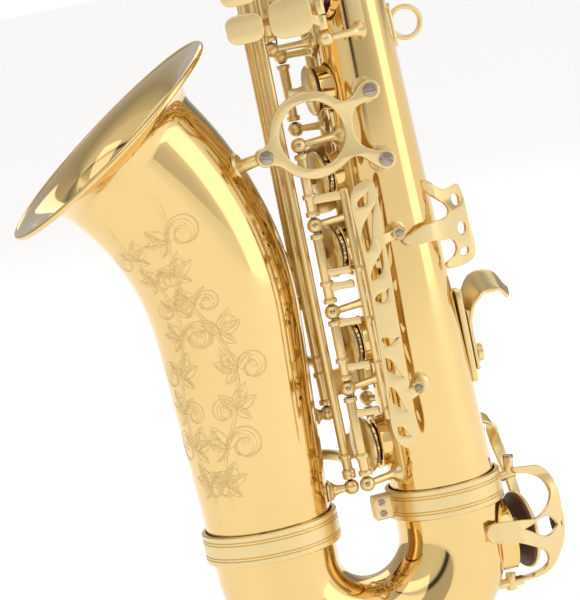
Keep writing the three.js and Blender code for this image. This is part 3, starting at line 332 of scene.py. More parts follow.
def slotted_head(centre: Array, direction: Array, radius: float, height: float, angle: float = 40) -> Sheet:
    """A screw head with a straight slot: height lowered where |x| is under half the slot's width.

    The grid's columns are lines square to the slot, each reaching y = sqrt(radius^2 - x^2), and its rows run
    from the rim's foot over the crowned top to the other foot.

    Args:
        centre: middle of the head's underside.
        direction: the way the head faces.
        radius: of the head.
        height: of the head at its rim.
        angle: of the slot, in degrees.
    Returns:
        The closed surface.
    """
    slot = radius * 0.16
    inner = np.array([slot, slot * 1.15])
    x = np.concatenate([-radius * np.cos(np.linspace(0, 1.3, 8)), -inner[::-1], inner,
                        radius * np.cos(np.linspace(1.3, 0, 8))])
    y = np.concatenate([[-1, -1], np.linspace(-0.93, 0.93, 11), [1, 1]])
    xx, yy = np.meshgrid(x, y)
    half = np.sqrt(np.maximum(radius**2 - xx**2, 0))
    r2 = (xx**2 + (yy * half) ** 2) / radius**2
    zz = height * (1 + 0.25 * (1 - r2)) - height * 0.12 * (r2 > 0.99)
    zz = np.where(np.abs(xx) <= slot, height * 0.12, zz)
    zz[[0, -1]] = 0
    u, v = side_axes(direction)
    a = math.radians(angle)
    u, v = u * math.cos(a) + v * math.sin(a), v * math.cos(a) - u * math.sin(a)
    points = centre + xx[..., None] * u + (yy * half)[..., None] * v + zz[..., None] * unit(direction)
    return Sheet(points, loop_rows=True, loop_columns=False)


def outline_plate(outline: Array, holes: list[Array], thickness: float,
                  bevel: float = 0.35) -> tuple[Array, list]:
    """A plate with a bevelled edge, cut to an outline with holes, as vertices (u, v, w) and faces.

    Args:
        outline: the closed edge, points by two.
        holes: closed edges of the cut-outs.
        thickness: of the plate, centred on w = 0.
        bevel: width of its rounded edge.
    Returns:
        Vertices and faces.
    """
    curve = bpy.data.curves.new("outline", "CURVE")
    curve.dimensions = "2D"
    curve.fill_mode = "BOTH"
    for edge in [outline, *holes]:
        spline = curve.splines.new("POLY")
        spline.points.add(len(edge) - 1)
        spline.points.foreach_set("co", np.pad(edge, ((0, 0), (0, 2))).astype(np.float32).ravel())
        spline.use_cyclic_u = True
    curve.extrude = thickness / 2 - bevel
    curve.bevel_depth = bevel
    curve.bevel_resolution = 2
    curve.offset = -bevel
    holder = bpy.data.objects.new("outline", curve)
    mesh = bpy.data.meshes.new_from_object(holder)
    points = np.zeros(len(mesh.vertices) * 3)
    mesh.vertices.foreach_get("co", points)
    faces = [tuple(p.vertices) for p in mesh.polygons]
    bpy.data.objects.remove(holder)
    bpy.data.curves.remove(curve)
    bpy.data.meshes.remove(mesh)
    return points.reshape(-1, 3), faces


def drop_shape(tail: tuple[float, float], head: tuple[float, float], width: float, bow: float = 0.0) -> Array:
    """The edge of a leaf-shaped cut-out.

    Along t from 0 at the tail to 1 at the head its half width is width/2 * sin(pi t^1.6)^0.8, and its middle
    line is bowed sideways by bow * sin(pi t).

    Args:
        tail: the slim end.
        head: the round end.
        width: at its widest.
        bow: how far its middle line is bowed.
    Returns:
        The closed edge, two columns.
    """
    a, b = np.array(tail), np.array(head)
    t = np.linspace(0, 1, 18)
    along = (b - a) / np.linalg.norm(b - a)
    square = np.array([-along[1], along[0]])
    middle = a + t[:, None] * (b - a) + bow * np.sin(math.pi * t)[:, None] * square
    half = (width / 2 * np.sin(math.pi * t**1.6) ** 0.8)[:, None] * square
    return np.vstack([middle + half, (middle - half)[-2:0:-1]])


def round_outline(points: list[tuple[float, float]], count: int = 120) -> Array:
    """A closed smooth edge through a few points.

    Args:
        points: that it passes through.
        count: how many points come back.
    Returns:
        The closed edge, two columns.
    """
    p = [vec(x, 0, z) for x, z in points]
    line = smooth_line([p[-1], *p, p[0], p[1]], 4 * count)
    start = np.argmin(np.linalg.norm(line[:2 * count] - p[0], axis=1))
    end = 2 * count + np.argmin(np.linalg.norm(line[2 * count:] - p[0], axis=1))
    keep = np.linspace(start, end - 1, count).astype(int)
    return line[keep][:, [0, 2]]


# ------------------------------ finishes
class NodeGroups:
    """Shader groups that several finishes share, each built once."""

    made: dict[str, bpy.types.NodeTree] = {}

    @classmethod
    def uneven(cls) -> bpy.types.NodeTree:
        """Soft unevenness: noise in object space mapped to lie between two values.

        Returns:
            The group, with inputs Scale, Low and High and the output Value.
        """
        if "uneven" in cls.made:
            return cls.made["uneven"]
        tree = bpy.data.node_groups.new("uneven", "ShaderNodeTree")
        for name, value in (("Scale", 60.0), ("Low", 0.0), ("High", 1.0)):
            socket = tree.interface.new_socket(name=name, in_out="INPUT", socket_type="NodeSocketFloat")
            socket.default_value = value
        tree.interface.new_socket(name="Value", in_out="OUTPUT", socket_type="NodeSocketFloat")
        n, link = tree.nodes, tree.links.new
        inside, out = n.new("NodeGroupInput"), n.new("NodeGroupOutput")
        place = n.new("ShaderNodeTexCoord")
        noise = n.new("ShaderNodeTexNoise")
        noise.inputs["Detail"].default_value = 4
        spread = n.new("ShaderNodeMapRange")
        spread.inputs["From Min"].default_value = 0.3
        spread.inputs["From Max"].default_value = 0.7
        link(place.outputs["Object"], noise.inputs["Vector"])
        link(inside.outputs["Scale"], noise.inputs["Scale"])
        link(noise.outputs["Fac"], spread.inputs["Value"])
        link(inside.outputs["Low"], spread.inputs["To Min"])
        link(inside.outputs["High"], spread.inputs["To Max"])
        link(spread.outputs["Result"], out.inputs["Value"])
        cls.made["uneven"] = tree
        return tree


@dataclass(frozen=True)
class Finish:
    """A surface finish: two colours that noise mixes, uneven roughness and a fine bump."""

    name: str
    slot: str
    light: tuple[float, float, float]
    dark: tuple[float, float, float]
    roughness: tuple[float, float]
    metallic: float = 0.0
    colour_scale: float = 40.0
    bump_scale: float = 900.0
    bump: float = 0.05
    coat: float = 0.0
    coat_roughness: float = 0.05
    stretch: tuple[float, float, float] = (1.0, 1.0, 1.0)

    def material(self) -> bpy.types.Material:
        """The node material, made on first use.

        Returns:
            The material.
        """
        found = bpy.data.materials.get(self.name)
        if found:
            return found
        material = bpy.data.materials.new(self.name)
        material.use_nodes = True
        n, link = material.node_tree.nodes, material.node_tree.links.new
        shader = n["Principled BSDF"]
        shader.inputs["Metallic"].default_value = self.metallic
        shader.inputs["Coat Weight"].default_value = self.coat
        shader.inputs["Coat Roughness"].default_value = self.coat_roughness
        tint, rough = (self.uneven(n, scale, low, high) for scale, low, high in (
            (self.colour_scale, 0.0, 1.0), (self.colour_scale * 2.7, *self.roughness)))
        mix = n.new("ShaderNodeMix")
        mix.data_type = "RGBA"
        mix.inputs["A"].default_value = (*self.light, 1)
        mix.inputs["B"].default_value = (*self.dark, 1)
        link(tint.outputs["Value"], mix.inputs["Factor"])
        link(mix.outputs["Result"], shader.inputs["Base Color"])
        link(rough.outputs["Value"], shader.inputs["Roughness"])
        place, stretch = n.new("ShaderNodeTexCoord"), n.new("ShaderNodeMapping")
        stretch.inputs["Scale"].default_value = self.stretch
        grain, bump = n.new("ShaderNodeTexNoise"), n.new("ShaderNodeBump")
        grain.inputs["Scale"].default_value = self.bump_scale
        bump.inputs["Strength"].default_value = self.bump
        bump.inputs["Distance"].default_value = 0.0002
        link(place.outputs["Object"], stretch.inputs["Vector"])
        link(stretch.outputs["Vector"], grain.inputs["Vector"])
        link(grain.outputs["Fac"], bump.inputs["Height"])
        link(bump.outputs["Normal"], shader.inputs["Normal"])
        return material

    @staticmethod
    def uneven(nodes: bpy.types.Nodes, scale: float, low: float, high: float) -> bpy.types.Node:
        """Places the shared unevenness group with its own values.

        Args:
            nodes: of the material.
            scale: of the noise.
            low: least value.
            high: greatest value.
        Returns:
            The group's node.
        """
        node = nodes.new("ShaderNodeGroup")
        node.node_tree = NodeGroups.uneven()
        for name, value in (("Scale", scale), ("Low", low), ("High", high)):
            node.inputs[name].default_value = value
        return node


class Finishes(Enum):
    """The finishes on this instrument."""

    BRASS = Finish("lacquered_brass", "lacquered_brass", (0.87, 0.62, 0.27), (0.80, 0.54, 0.20),
                   (0.06, 0.11), 1.0, 9.0, 260.0, 0.012, 0.3, 0.04)
    SHEET = Finish("bell_brass", "lacquered_brass", (0.88, 0.645, 0.285), (0.83, 0.585, 0.235), (0.05, 0.09),
                   1.0, 6.0, 90.0, 0.010, 0.3, 0.04)
    ENGRAVED = Finish("engraved_brass", "lacquered_brass", (0.80, 0.58, 0.27), (0.70, 0.48, 0.20),
                      (0.26, 0.38), 1.0, 300.0, 2500.0, 0.15)
    STEEL = Finish("screw_steel", "steel", (0.50, 0.42, 0.33), (0.36, 0.29, 0.22), (0.2, 0.3), 1.0, 150.0,
                   1800.0, 0.08)
    BLUED = Finish("spring_steel", "blued_steel", (0.10, 0.13, 0.26), (0.05, 0.06, 0.12), (0.22, 0.32), 1.0,
                   200.0)
    LEATHER = Finish("pad_leather", "leather_pad", (0.15, 0.055, 0.03), (0.07, 0.025, 0.016), (0.42, 0.6),
                     0.0, 180.0, 1400.0, 0.35)
    FELT = Finish("felt", "felt", (0.10, 0.03, 0.02), (0.05, 0.015, 0.01), (0.9, 1.0), 0.0, 500.0, 2600.0,
                  0.8)
    CORK = Finish("cork", "cork", (0.62, 0.42, 0.24), (0.36, 0.21, 0.11), (0.75, 0.92), 0.0, 420.0, 900.0,
                  0.6)
    PEARL = Finish("pearl", "pearl", (0.88, 0.87, 0.82), (0.70, 0.74, 0.72), (0.12, 0.2), 0.0, 220.0, 500.0,
                   0.03, 0.7)
    EBONITE = Finish("ebonite", "ebonite", (0.018, 0.018, 0.02), (0.012, 0.012, 0.013), (0.12, 0.2), 0.0,
                     60.0, 700.0, 0.04, 0.4)
    CANE = Finish("cane", "cane", (0.80, 0.66, 0.38), (0.66, 0.50, 0.25), (0.5, 0.65), 0.0, 160.0, 1500.0,
                  0.3, stretch=(0.06, 1.0, 1.0))


# ------------------------------ making pieces
@dataclass
class Forge:
    """Collects surfaces in the drawing frame and makes one piece of them."""

    points: list[Array] = field(default_factory=list)
    faces: list[tuple] = field(default_factory=list)
    size: int = 0

    def add(self, *sheets: Sheet) -> "Forge":
        """Adds grids.

        Returns:
            The forge itself.
        """
        for sheet in sheets:
            self.raw(sheet.points.reshape(-1, 3), [tuple(f) for f in sheet.faces().tolist()])
        return self

    def raw(self, points: Array, faces: list[tuple]) -> "Forge":
        """Adds loose vertices and faces.

        Args:
            points: three columns.
            faces: vertex numbers, counted from 0 in these points.
        Returns:
            The forge itself.
        """
        self.faces += [tuple(i + self.size for i in f) for f in faces]
        self.points.append(np.asarray(points, float))
        self.size += len(points)
        return self

    def turned(self, pivot: Array, axis: Array, degrees: float) -> "Forge":
        """Turns all that was added so far about an axis through a pivot.

        Args:
            pivot: on the axis.
            axis: unit direction.
            degrees: of the turn.
        Returns:
            The forge itself.
        """
        matrix = turn_about(axis, degrees)
        self.points = [(p - pivot) @ matrix.T + pivot for p in self.points]
        return self

    def piece(self, name: str, body: str, finish: Finishes, *nodes: str) -> bpy.types.Object:
        """Makes the mesh object, closes its seams, turns its faces outwards and hands it to the frame.

        Args:
            name: of the piece.
            body: that it rides on.
            finish: of its surface.
            nodes: frame nodes that it stands for.
        Returns:
            The finished object.
        """
        points = (np.vstack(self.points) + vec(AXIS_X, 0, 0)) * MM
        mesh = bpy.data.meshes.new(name)
        mesh.from_pydata(points.tolist(), [], self.faces)
        work = bmesh.new()
        work.from_mesh(mesh)
        bmesh.ops.remove_doubles(work, verts=work.verts, dist=WELD)
        bmesh.ops.dissolve_degenerate(work, edges=work.edges, dist=1e-7)
        bmesh.ops.recalc_face_normals(work, faces=work.faces)
        work.to_mesh(mesh)
        work.free()
        mesh.shade_smooth()
        mesh.set_sharp_from_angle(angle=math.radians(CREASE))
        piece = bpy.data.objects.new(name, mesh)
        bpy.context.scene.collection.objects.link(piece)
        piece.data.materials.append(finish.value.material())
        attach(piece, body)
        if nodes:
            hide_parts(*nodes)
        LOG.info("%s: %d faces on %s", name, len(mesh.polygons), body)
        return piece


def hinge_line(body: str) -> Array:
    """A point on a body's hinge line, from the frame's joint, in the drawing frame."""
    x, y, _ = next(joint for joint in frame["joints"] if joint["child"] == body)["pos_m"]
    return vec(x / MM - AXIS_X, y / MM, 0)


def on_line(line: Array, z: float) -> Array:
    """The point of an upright line at a height."""
    return vec(line[0], line[1], z)


# ------------------------------ tubes
@dataclass(frozen=True)
class ToneHole:
    """A tone hole: its chimney stands along a direction, from a point on the bore's middle line."""

    root: Array
    direction: Array
    radius: float
    top: float

    def at(self, distance: float) -> Array:
        """A point on the hole's axis."""
        return self.root + self.direction * distance

    def chimney(self) -> Sheet:
        """The drawn chimney, a ring wall with a rolled lip.

        Returns:
            The closed surface.
        """
        r, outer, low = self.radius, self.radius + 1.2, self.top - 9
        profile = [(r, low), (outer, low), (outer, self.top - 0.9), (outer + 0.3, self.top - 0.35),
                   (outer - 0.1, self.top), (r + 0.2, self.top), (r, self.top - 0.3), (r, low)]
        return lathe(profile, self.root, self.direction, 48)


@dataclass
class Tubes:
    """Sizes of the body tube, bow, bell and neck, and the places of their tone holes."""

    ring_radius: float = 19.0
    taper: float = 0.031
    top: float = 200.0
    bottom: float = -231.0
    wall: float = 1.0
    bow_radius: float = 44.75
    bow_straight: float = 16.0
    bell_radius: float = 30.6
    bell_taper: float = 0.0505
    bell_straight: float = 104.0
    bell_bend: float = 146.0
    bell_lean: float = 35.0
    bell_neck: float = 21.4
    flare_length: float = 16.0
    rim_radius: float = 63.4
    chimney: float = 4.0
    tenon_radius: float = 11.6
    neck_end_radius: float = 6.6
    receiver_top: float = 224.0
    neck_straight: float = 36.0
    neck_bend: float = 62.0
    neck_turn: float = -75.0
    neck_last: float = 72.0

    def __post_init__(self) -> None:
        """Works out the spines and tone holes from the sizes."""
        self.bow_spine = Spine(vec(0, 0, self.bottom - GAP), -90, self.bow_straight, self.bow_radius, -180,
                               self.bow_straight)
        self.bell_start = vec(-2 * self.bow_radius, 0, self.bottom)
        self.bell_spine = Spine(self.bell_start, 90, self.bell_straight, self.bell_bend, self.bell_lean,
                                self.bell_neck)
        self.flare_start = self.bell_spine.length - self.flare_length
        self.neck_spine = Spine(vec(0, 0, self.top + 1), 90, self.neck_straight, self.neck_bend,
                                self.neck_turn, self.neck_last)
        self.body = {name: self.body_hole(*spec) for name, spec in {
            "gSharp": (0, -23, 9.5), "fSharp": (0, -65, 9.6), "f": (0, -102, 10.2), "e": (0, -148.5, 10.8),
            "d": (0, -199, 11.6), "eFlat": (-100, -200, 12), "g": (34, 22, 10.3), "a": (34, 55, 9.3),
            "b": (34, 84, 8),
            "c": (34, 110, 5), "palmD": (95, 128, 6, 3), "palmEFlat": (95, 151, 5.6, 3),
            "palmF": (95, 173, 5.2, 3),
            "sideBFlat": (-118, 30, 8, 3), "sideC": (-118, 60, 7.5, 3), "sideE": (-118, 140, 6, 3)}.items()}
        self.bell = {name: self.bell_hole(z, r) for name, z, r in (
            ("lowBFlat", -104, 20), ("lowB", -157, 19), ("lowCSharp", -205, 15))}
        self.low_c = ToneHole(vec(-2.3, 0, self.bottom - 28.2), X, 16.8, 30.3)

    def radius(self, z: float) -> float:
        """The body tube's outer radius at a height."""
        return self.ring_radius - self.taper * z

    def around(self, degrees: float, distance: float, z: float) -> Array:
        """A point round the body tube: 0 degrees is the front and 90 the player's left."""
        a = math.radians(degrees)
        return vec(-distance * math.cos(a), -distance * math.sin(a), z)

    def body_hole(self, degrees: float, z: float, radius: float, height: float | None = None) -> ToneHole:
        """A tone hole on the body tube."""
        top = self.radius(z) + (self.chimney if height is None else height)
        return ToneHole(vec(0, 0, z), self.around(degrees, 1, 0), radius, top)

    def bell_radius_at(self, s: Array) -> Array:
        """The bell's outer radius at a distance along it: a straight taper, then a quarter ellipse.

        Args:
            s: distances along the bell.
        Returns:
            The radii.
        """
        s = np.asarray(s, float)
        root = self.bell_radius + self.bell_taper * self.flare_start
        share = np.clip((s - self.flare_start) / self.flare_length, 0, 1)
        flare = (self.rim_radius - root) * (1 - np.sqrt(1 - share**2))
        return self.bell_radius + self.bell_taper * np.minimum(s, self.flare_start) + flare

    def bell_at(self, z: float) -> tuple[float, Array, float]:
        """Distance along the bell, its middle and its radius, at a height.

        Args:
            z: the height.
        Returns:
            The distance, the middle and the radius.
        """
        s = z - self.bell_start[2]
        for _ in range(6):
            s += z - self.bell_spine.at(s)[0][0, 2]
        return s, self.bell_spine.at(s)[0][0], float(self.bell_radius_at(s))

    def bell_hole(self, z: float, radius: float) -> ToneHole:
        """A tone hole on the bell, 20 degrees from the player's right towards the body.

        Args:
            z: its height.
            radius: of the hole.
        Returns:
            The hole.
        """
        _, centre, tube = self.bell_at(z)
        a = math.radians(20)
        return ToneHole(centre, vec(math.sin(a), math.cos(a), 0), radius, tube + self.chimney)

    def neck_radius(self, s: float) -> float:
        """The neck's outer radius at a distance along it.

        Args:
            s: the distance.
        Returns:
            The radius.
        """
        collar = self.receiver_top + GAP - self.top - 1
        share = max(0.0, s - collar) / (self.neck_spine.length - collar)
        return self.tenon_radius + (self.neck_end_radius - self.tenon_radius) * share

    def neck_back(self, share: float, lift: float) -> Array:
        """A point over the neck's back at a share of its length.

        Args:
            share: from 0 at the receiver to 1.
            lift: above the surface.
        Returns:
            The point.
        """
        s = share * self.neck_spine.length
        centre, tangent = self.neck_spine.at(s)
        return centre[0] - np.cross(Y, tangent[0]) * (self.neck_radius(s) + lift)

    def build(self) -> None:
        """Makes the body tube, bow, bell and the two rings over their joints."""
        self.build_body()
        self.build_bow()
        self.build_bell()
        self.build_rings()

    def build_body(self) -> None:
        """The conical body tube, with its wall, and the chimneys drawn out of it."""
        z = np.linspace(self.bottom, self.top, 60)
        outer = [(self.radius(h), h) for h in z]
        inner = [(self.radius(h) - self.wall, h) for h in z[::-1]]
        body = Forge().add(lathe([*outer, *inner, outer[0]], vec(0, 0, 0), Z, 96))
        body.add(*[hole.chimney() for hole in self.body.values()])
        body.piece("body_tube_shell", "horn", Finishes.SHEET, "body_tube")

    def build_bow(self) -> None:
        """The bow, with its wall and the low C chimney; the rings over both its ends are made with the other
        rings.
        """
        s = np.linspace(0, self.bow_spine.length, 90)
        r = np.interp(s, [0, self.bow_spine.length], [self.radius(self.bottom), self.bell_radius])
        profile = [*zip(r, s), *zip(r[::-1] - self.wall, s[::-1]), (r[0], s[0])]
        bow = Forge().add(bent(profile, self.bow_spine, 96), self.low_c.chimney())
        bow.piece("bow_shell", "horn", Finishes.SHEET, "bow")

    def build_bell(self) -> None:
        """The bell: taper, lean and elliptic flare, its inner wall, and a rolled bead round the rim."""
        s = np.concatenate([np.linspace(0, self.flare_start, 100)[:-1],
                            self.flare_start + self.flare_length * np.sin(np.linspace(0, math.pi / 2, 34))])
        outer = list(zip(self.bell_radius_at(s), s))
        inner = [(max(a - self.wall, 1), min(b + 0.9 * (b > self.flare_start), self.bell_spine.length + 0.8))
                 for a, b in outer[::-1]]
        bell = Forge().add(bent([*outer, *inner, outer[0]], self.bell_spine, 128))
        turn = np.linspace(0, 2 * math.pi, 17)
        bead = [(self.rim_radius + 1.45 * math.cos(a), self.bell_spine.length + 1.45 * math.sin(a))
                for a in turn]
        bell.add(bent(bead, self.bell_spine, 160), *[hole.chimney() for hole in self.bell.values()])
        bell.piece("bell_shell", "horn", Finishes.SHEET, "bell")

    def build_rings(self) -> None:
        """The two grooved rings, and the lug with its two screws at the bow's front."""
        half, reach = 7.5, 2.0
        for name, centre, tube, node in (
            ("body_ring", vec(0, 0, self.bottom - GAP / 2), self.radius(self.bottom) + 0.4, "body_bow_clamp"),
            ("bell_ring", vec(-2 * self.bow_radius, 0, self.bottom - GAP / 2), self.bell_radius + 0.7,
             "bell_bow_band"),
        ):
            low, high = tube + GAP, tube + GAP + reach
            profile = [(low, -half), (high - 0.5, -half), (high, -half + 0.5)]
            for groove in (-4.6, -3.2, 3.2, 4.6):
                profile += [(high, groove - 0.35), (high - 0.45, groove), (high, groove + 0.35)]
            profile += [(high, half - 0.5), (high - 0.5, half), (low, half), (low, -half)]
            ring = Forge().add(lathe(profile, centre, Z, 96))
            if name == "body_ring":
                front = -self.radius(self.bottom)
                for side in (-1, 1):
                    ring.add(strap([vec(front - 2, side * 2.6, centre[2]),
                                    vec(front - 6, side * 2.5, centre[2]),
                                    vec(front - 10, side * 2.4, centre[2])], 12, 3.6))
            ring.piece(name, "horn", Finishes.BRASS, node)
        screws = Forge()
        for dz in (-2.8, 2.8):
            centre = vec(-self.radius(self.bottom) - 7, -4.3, self.bottom - GAP / 2 + dz)
            screws.add(slotted_head(centre, -Y, 1.7, 0.7, 20))
        screws.piece("ring_screws", "horn", Finishes.STEEL)


# ------------------------------ key parts
@dataclass
class KeyWork:
    """Sizes that all keys share, and the surfaces that keys are made of."""

    tubes: Tubes
    tube_radius: float = 2.4
    ball_radius: float = 3.8
    stem_radius: float = 1.9
    end_play: float = 0.5
    cup_height: float = 5.0
    cup_lip: float = 3.0
    arm: float = 2.4

    @property
    def half(self) -> float:
        """From a post's middle to the end of the tube beside it."""
        return self.ball_radius + self.end_play

    def cup(self, hole: ToneHole) -> list[Sheet]:
        """A key cup: a shallow dome with a rounded shoulder and a straight skirt, and the pad's resonator.

        Args:
            hole: that it covers.
        Returns:
            Both surfaces.
        """
        r, h = hole.radius + self.cup_lip, self.cup_height
        profile = [(0, h), (r * 0.3, h * 0.99), (r * 0.5, h * 0.95), (r * 0.56, h * 0.9),
                   (r * 0.74, h * 0.86), (r * 0.88, h * 0.76), (r * 0.97, h * 0.6), (r, h * 0.46), (r, 1.45),
                   (r - 0.25, 1.2), (r - 0.7, 1.2), (r - 0.7, h * 0.4), (0, h * 0.5)]
        dome = [(0, -0.75), (r * 0.12, -0.72), (r * 0.25, -0.5), (r * 0.34, 0.0), (r * 0.34, 0.6), (0, 0.6)]
        start = hole.at(hole.top + GAP)
        return [lathe(profile, start, hole.direction, 56), lathe(dome, start, hole.direction, 28)]

    def pad(self, hole: ToneHole) -> Sheet:
        """A leather pad with a rounded edge, which stands a little out of its cup.

        Args:
            hole: that it closes.
        Returns:
            The closed surface.
        """
        r = hole.radius + self.cup_lip - 0.75
        profile = [(0, 0.05), (r * 0.55, 0.05), (r * 0.62, 0.0), (r - 0.9, 0.0), (r - 0.25, 0.3), (r, 0.9),
                   (r, 2.0), (0, 2.0)]
        return lathe(profile, hole.at(hole.top + GAP), hole.direction, 48)

    def cup_top(self, hole: ToneHole) -> Array:
        """The middle of a cup's top."""
        return hole.at(hole.top + GAP + self.cup_height)

    def hinge(self, line: Array, low: float, high: float, collars: tuple[float, ...] = ()) -> list[Sheet]:
        """A hinge tube with rounded ends, and rings soldered on it at some heights."""
        tube = rod(on_line(line, low), on_line(line, high), self.tube_radius, sides=24)
        return [tube, *[self.collar(line, z) for z in collars]]

    def collar(self, line: Array, z: float, height: float = 2.4) -> Sheet:
        """A ring round a hinge tube."""
        return rod(on_line(line, z), on_line(line, z + height), self.tube_radius + 0.9, sides=24, edge=0.4)

    def post(self, root: Array, head: Array) -> list[Sheet]:
        """A post: a ball on a stem that swells towards its round foot.

        Args:
            root: middle of its foot.
            head: middle of its ball.
        Returns:
            Both surfaces.
        """
        axis = head - root
        length = float(np.linalg.norm(axis))
        profile = [(0, 0), (4.6, 0), (4.6, 1.0), (4.0, 1.5), (2.9, 2.6), (2.2, 4.5), (self.stem_radius, 7),
                   (1.7, length - 3), (1.7, length)]
        profile = [(r, min(h, length)) for r, h in profile] + [(0, length)]
        return [lathe(profile, root, axis, 28), ball(head, self.ball_radius, 26)]

    def tube_post(self, line: Array, z: float) -> list[Sheet]:
        """A post that stands on the body tube under a hinge line."""
        share = (self.tubes.radius(z) + 1.2) / float(np.hypot(line[0], line[1]))
        return self.post(vec(line[0] * share, line[1] * share, z), on_line(line, z))

    def rib(self, degrees: float, low: float, high: float, width: float = 8) -> Sheet:
        """A strip soldered along the body tube: an arc of shell, square to the tube, with rounded ends.

        Args:
            degrees: where it lies round the tube.
            low: height of its lower end.
            high: height of its upper end.
            width: round the tube.
        Returns:
            The closed surface.
        """
        z = np.linspace(low, high, 40)
        end = np.sqrt(np.clip(1 - (np.maximum(0, np.abs(z - (low + high) / 2) - (high - low) / 2 + width / 2)
                                   / (width / 2)) ** 2, 0.02, 1))
        radius = self.tubes.radius(z)
        across = np.array([-1, -0.9, -0.5, 0, 0.5, 0.9, 1, 1, 0, -1])
        lift = np.array([0.9, 1.45, 1.7, 1.75, 1.7, 1.45, 0.9, 0.1, 0.1, 0.1])
        angle = math.radians(degrees) + across[None] * (width / 2 * end / radius)[:, None]
        r = radius[:, None] + lift[None]
        points = np.stack([-r * np.cos(angle), -r * np.sin(angle), np.broadcast_to(z[:, None], r.shape)], -1)
        middle = points.mean(1, keepdims=True)
        first, last = (np.repeat(middle[i:i + 1] if i == 0 else middle[-1:], points.shape[1],
                                 1) for i in (0, -1))
        return Sheet(np.concatenate([first, points, last]))

    def arm_to(self, line: Array, hole: ToneHole, z: float, width: float = 6) -> Sheet:
        """The arm from a hinge tube to a cup's middle: wide on the tube, slim, and wide again on the cup.

        Args:
            line: the hinge line.
            hole: under the cup.
            z: where it leaves the tube.
            width: at the tube.
        Returns:
            The closed surface.
        """
        top = hole.at(hole.top + GAP + self.cup_height - self.arm / 2 + 0.9)
        middle = (on_line(line, z) + top) / 2 - vec(1.2, 0, 0)
        return strap([on_line(line, z), middle, top], [width, width * 0.7, width * 0.75, width * 1.1],
                     self.arm, roundness=0.5)

    def springs(self, name: str, runs: list[tuple[Array, Array]]) -> None:
        """Blue needle springs, each a slim wire that bends slightly from its post to its key.

        Args:
            name: of the piece.
            runs: both ends of each spring.
        """
        work = Forge()
        for a, b in runs:
            middle = (a + b) / 2 + unit(np.cross(b - a, Z) + 1e-6) * 0.8
            work.add(strap([a, middle, b], [0.9, 0.6], 0.8, X, 10, 1.0))
        work.piece(name, "horn", Finishes.BLUED)


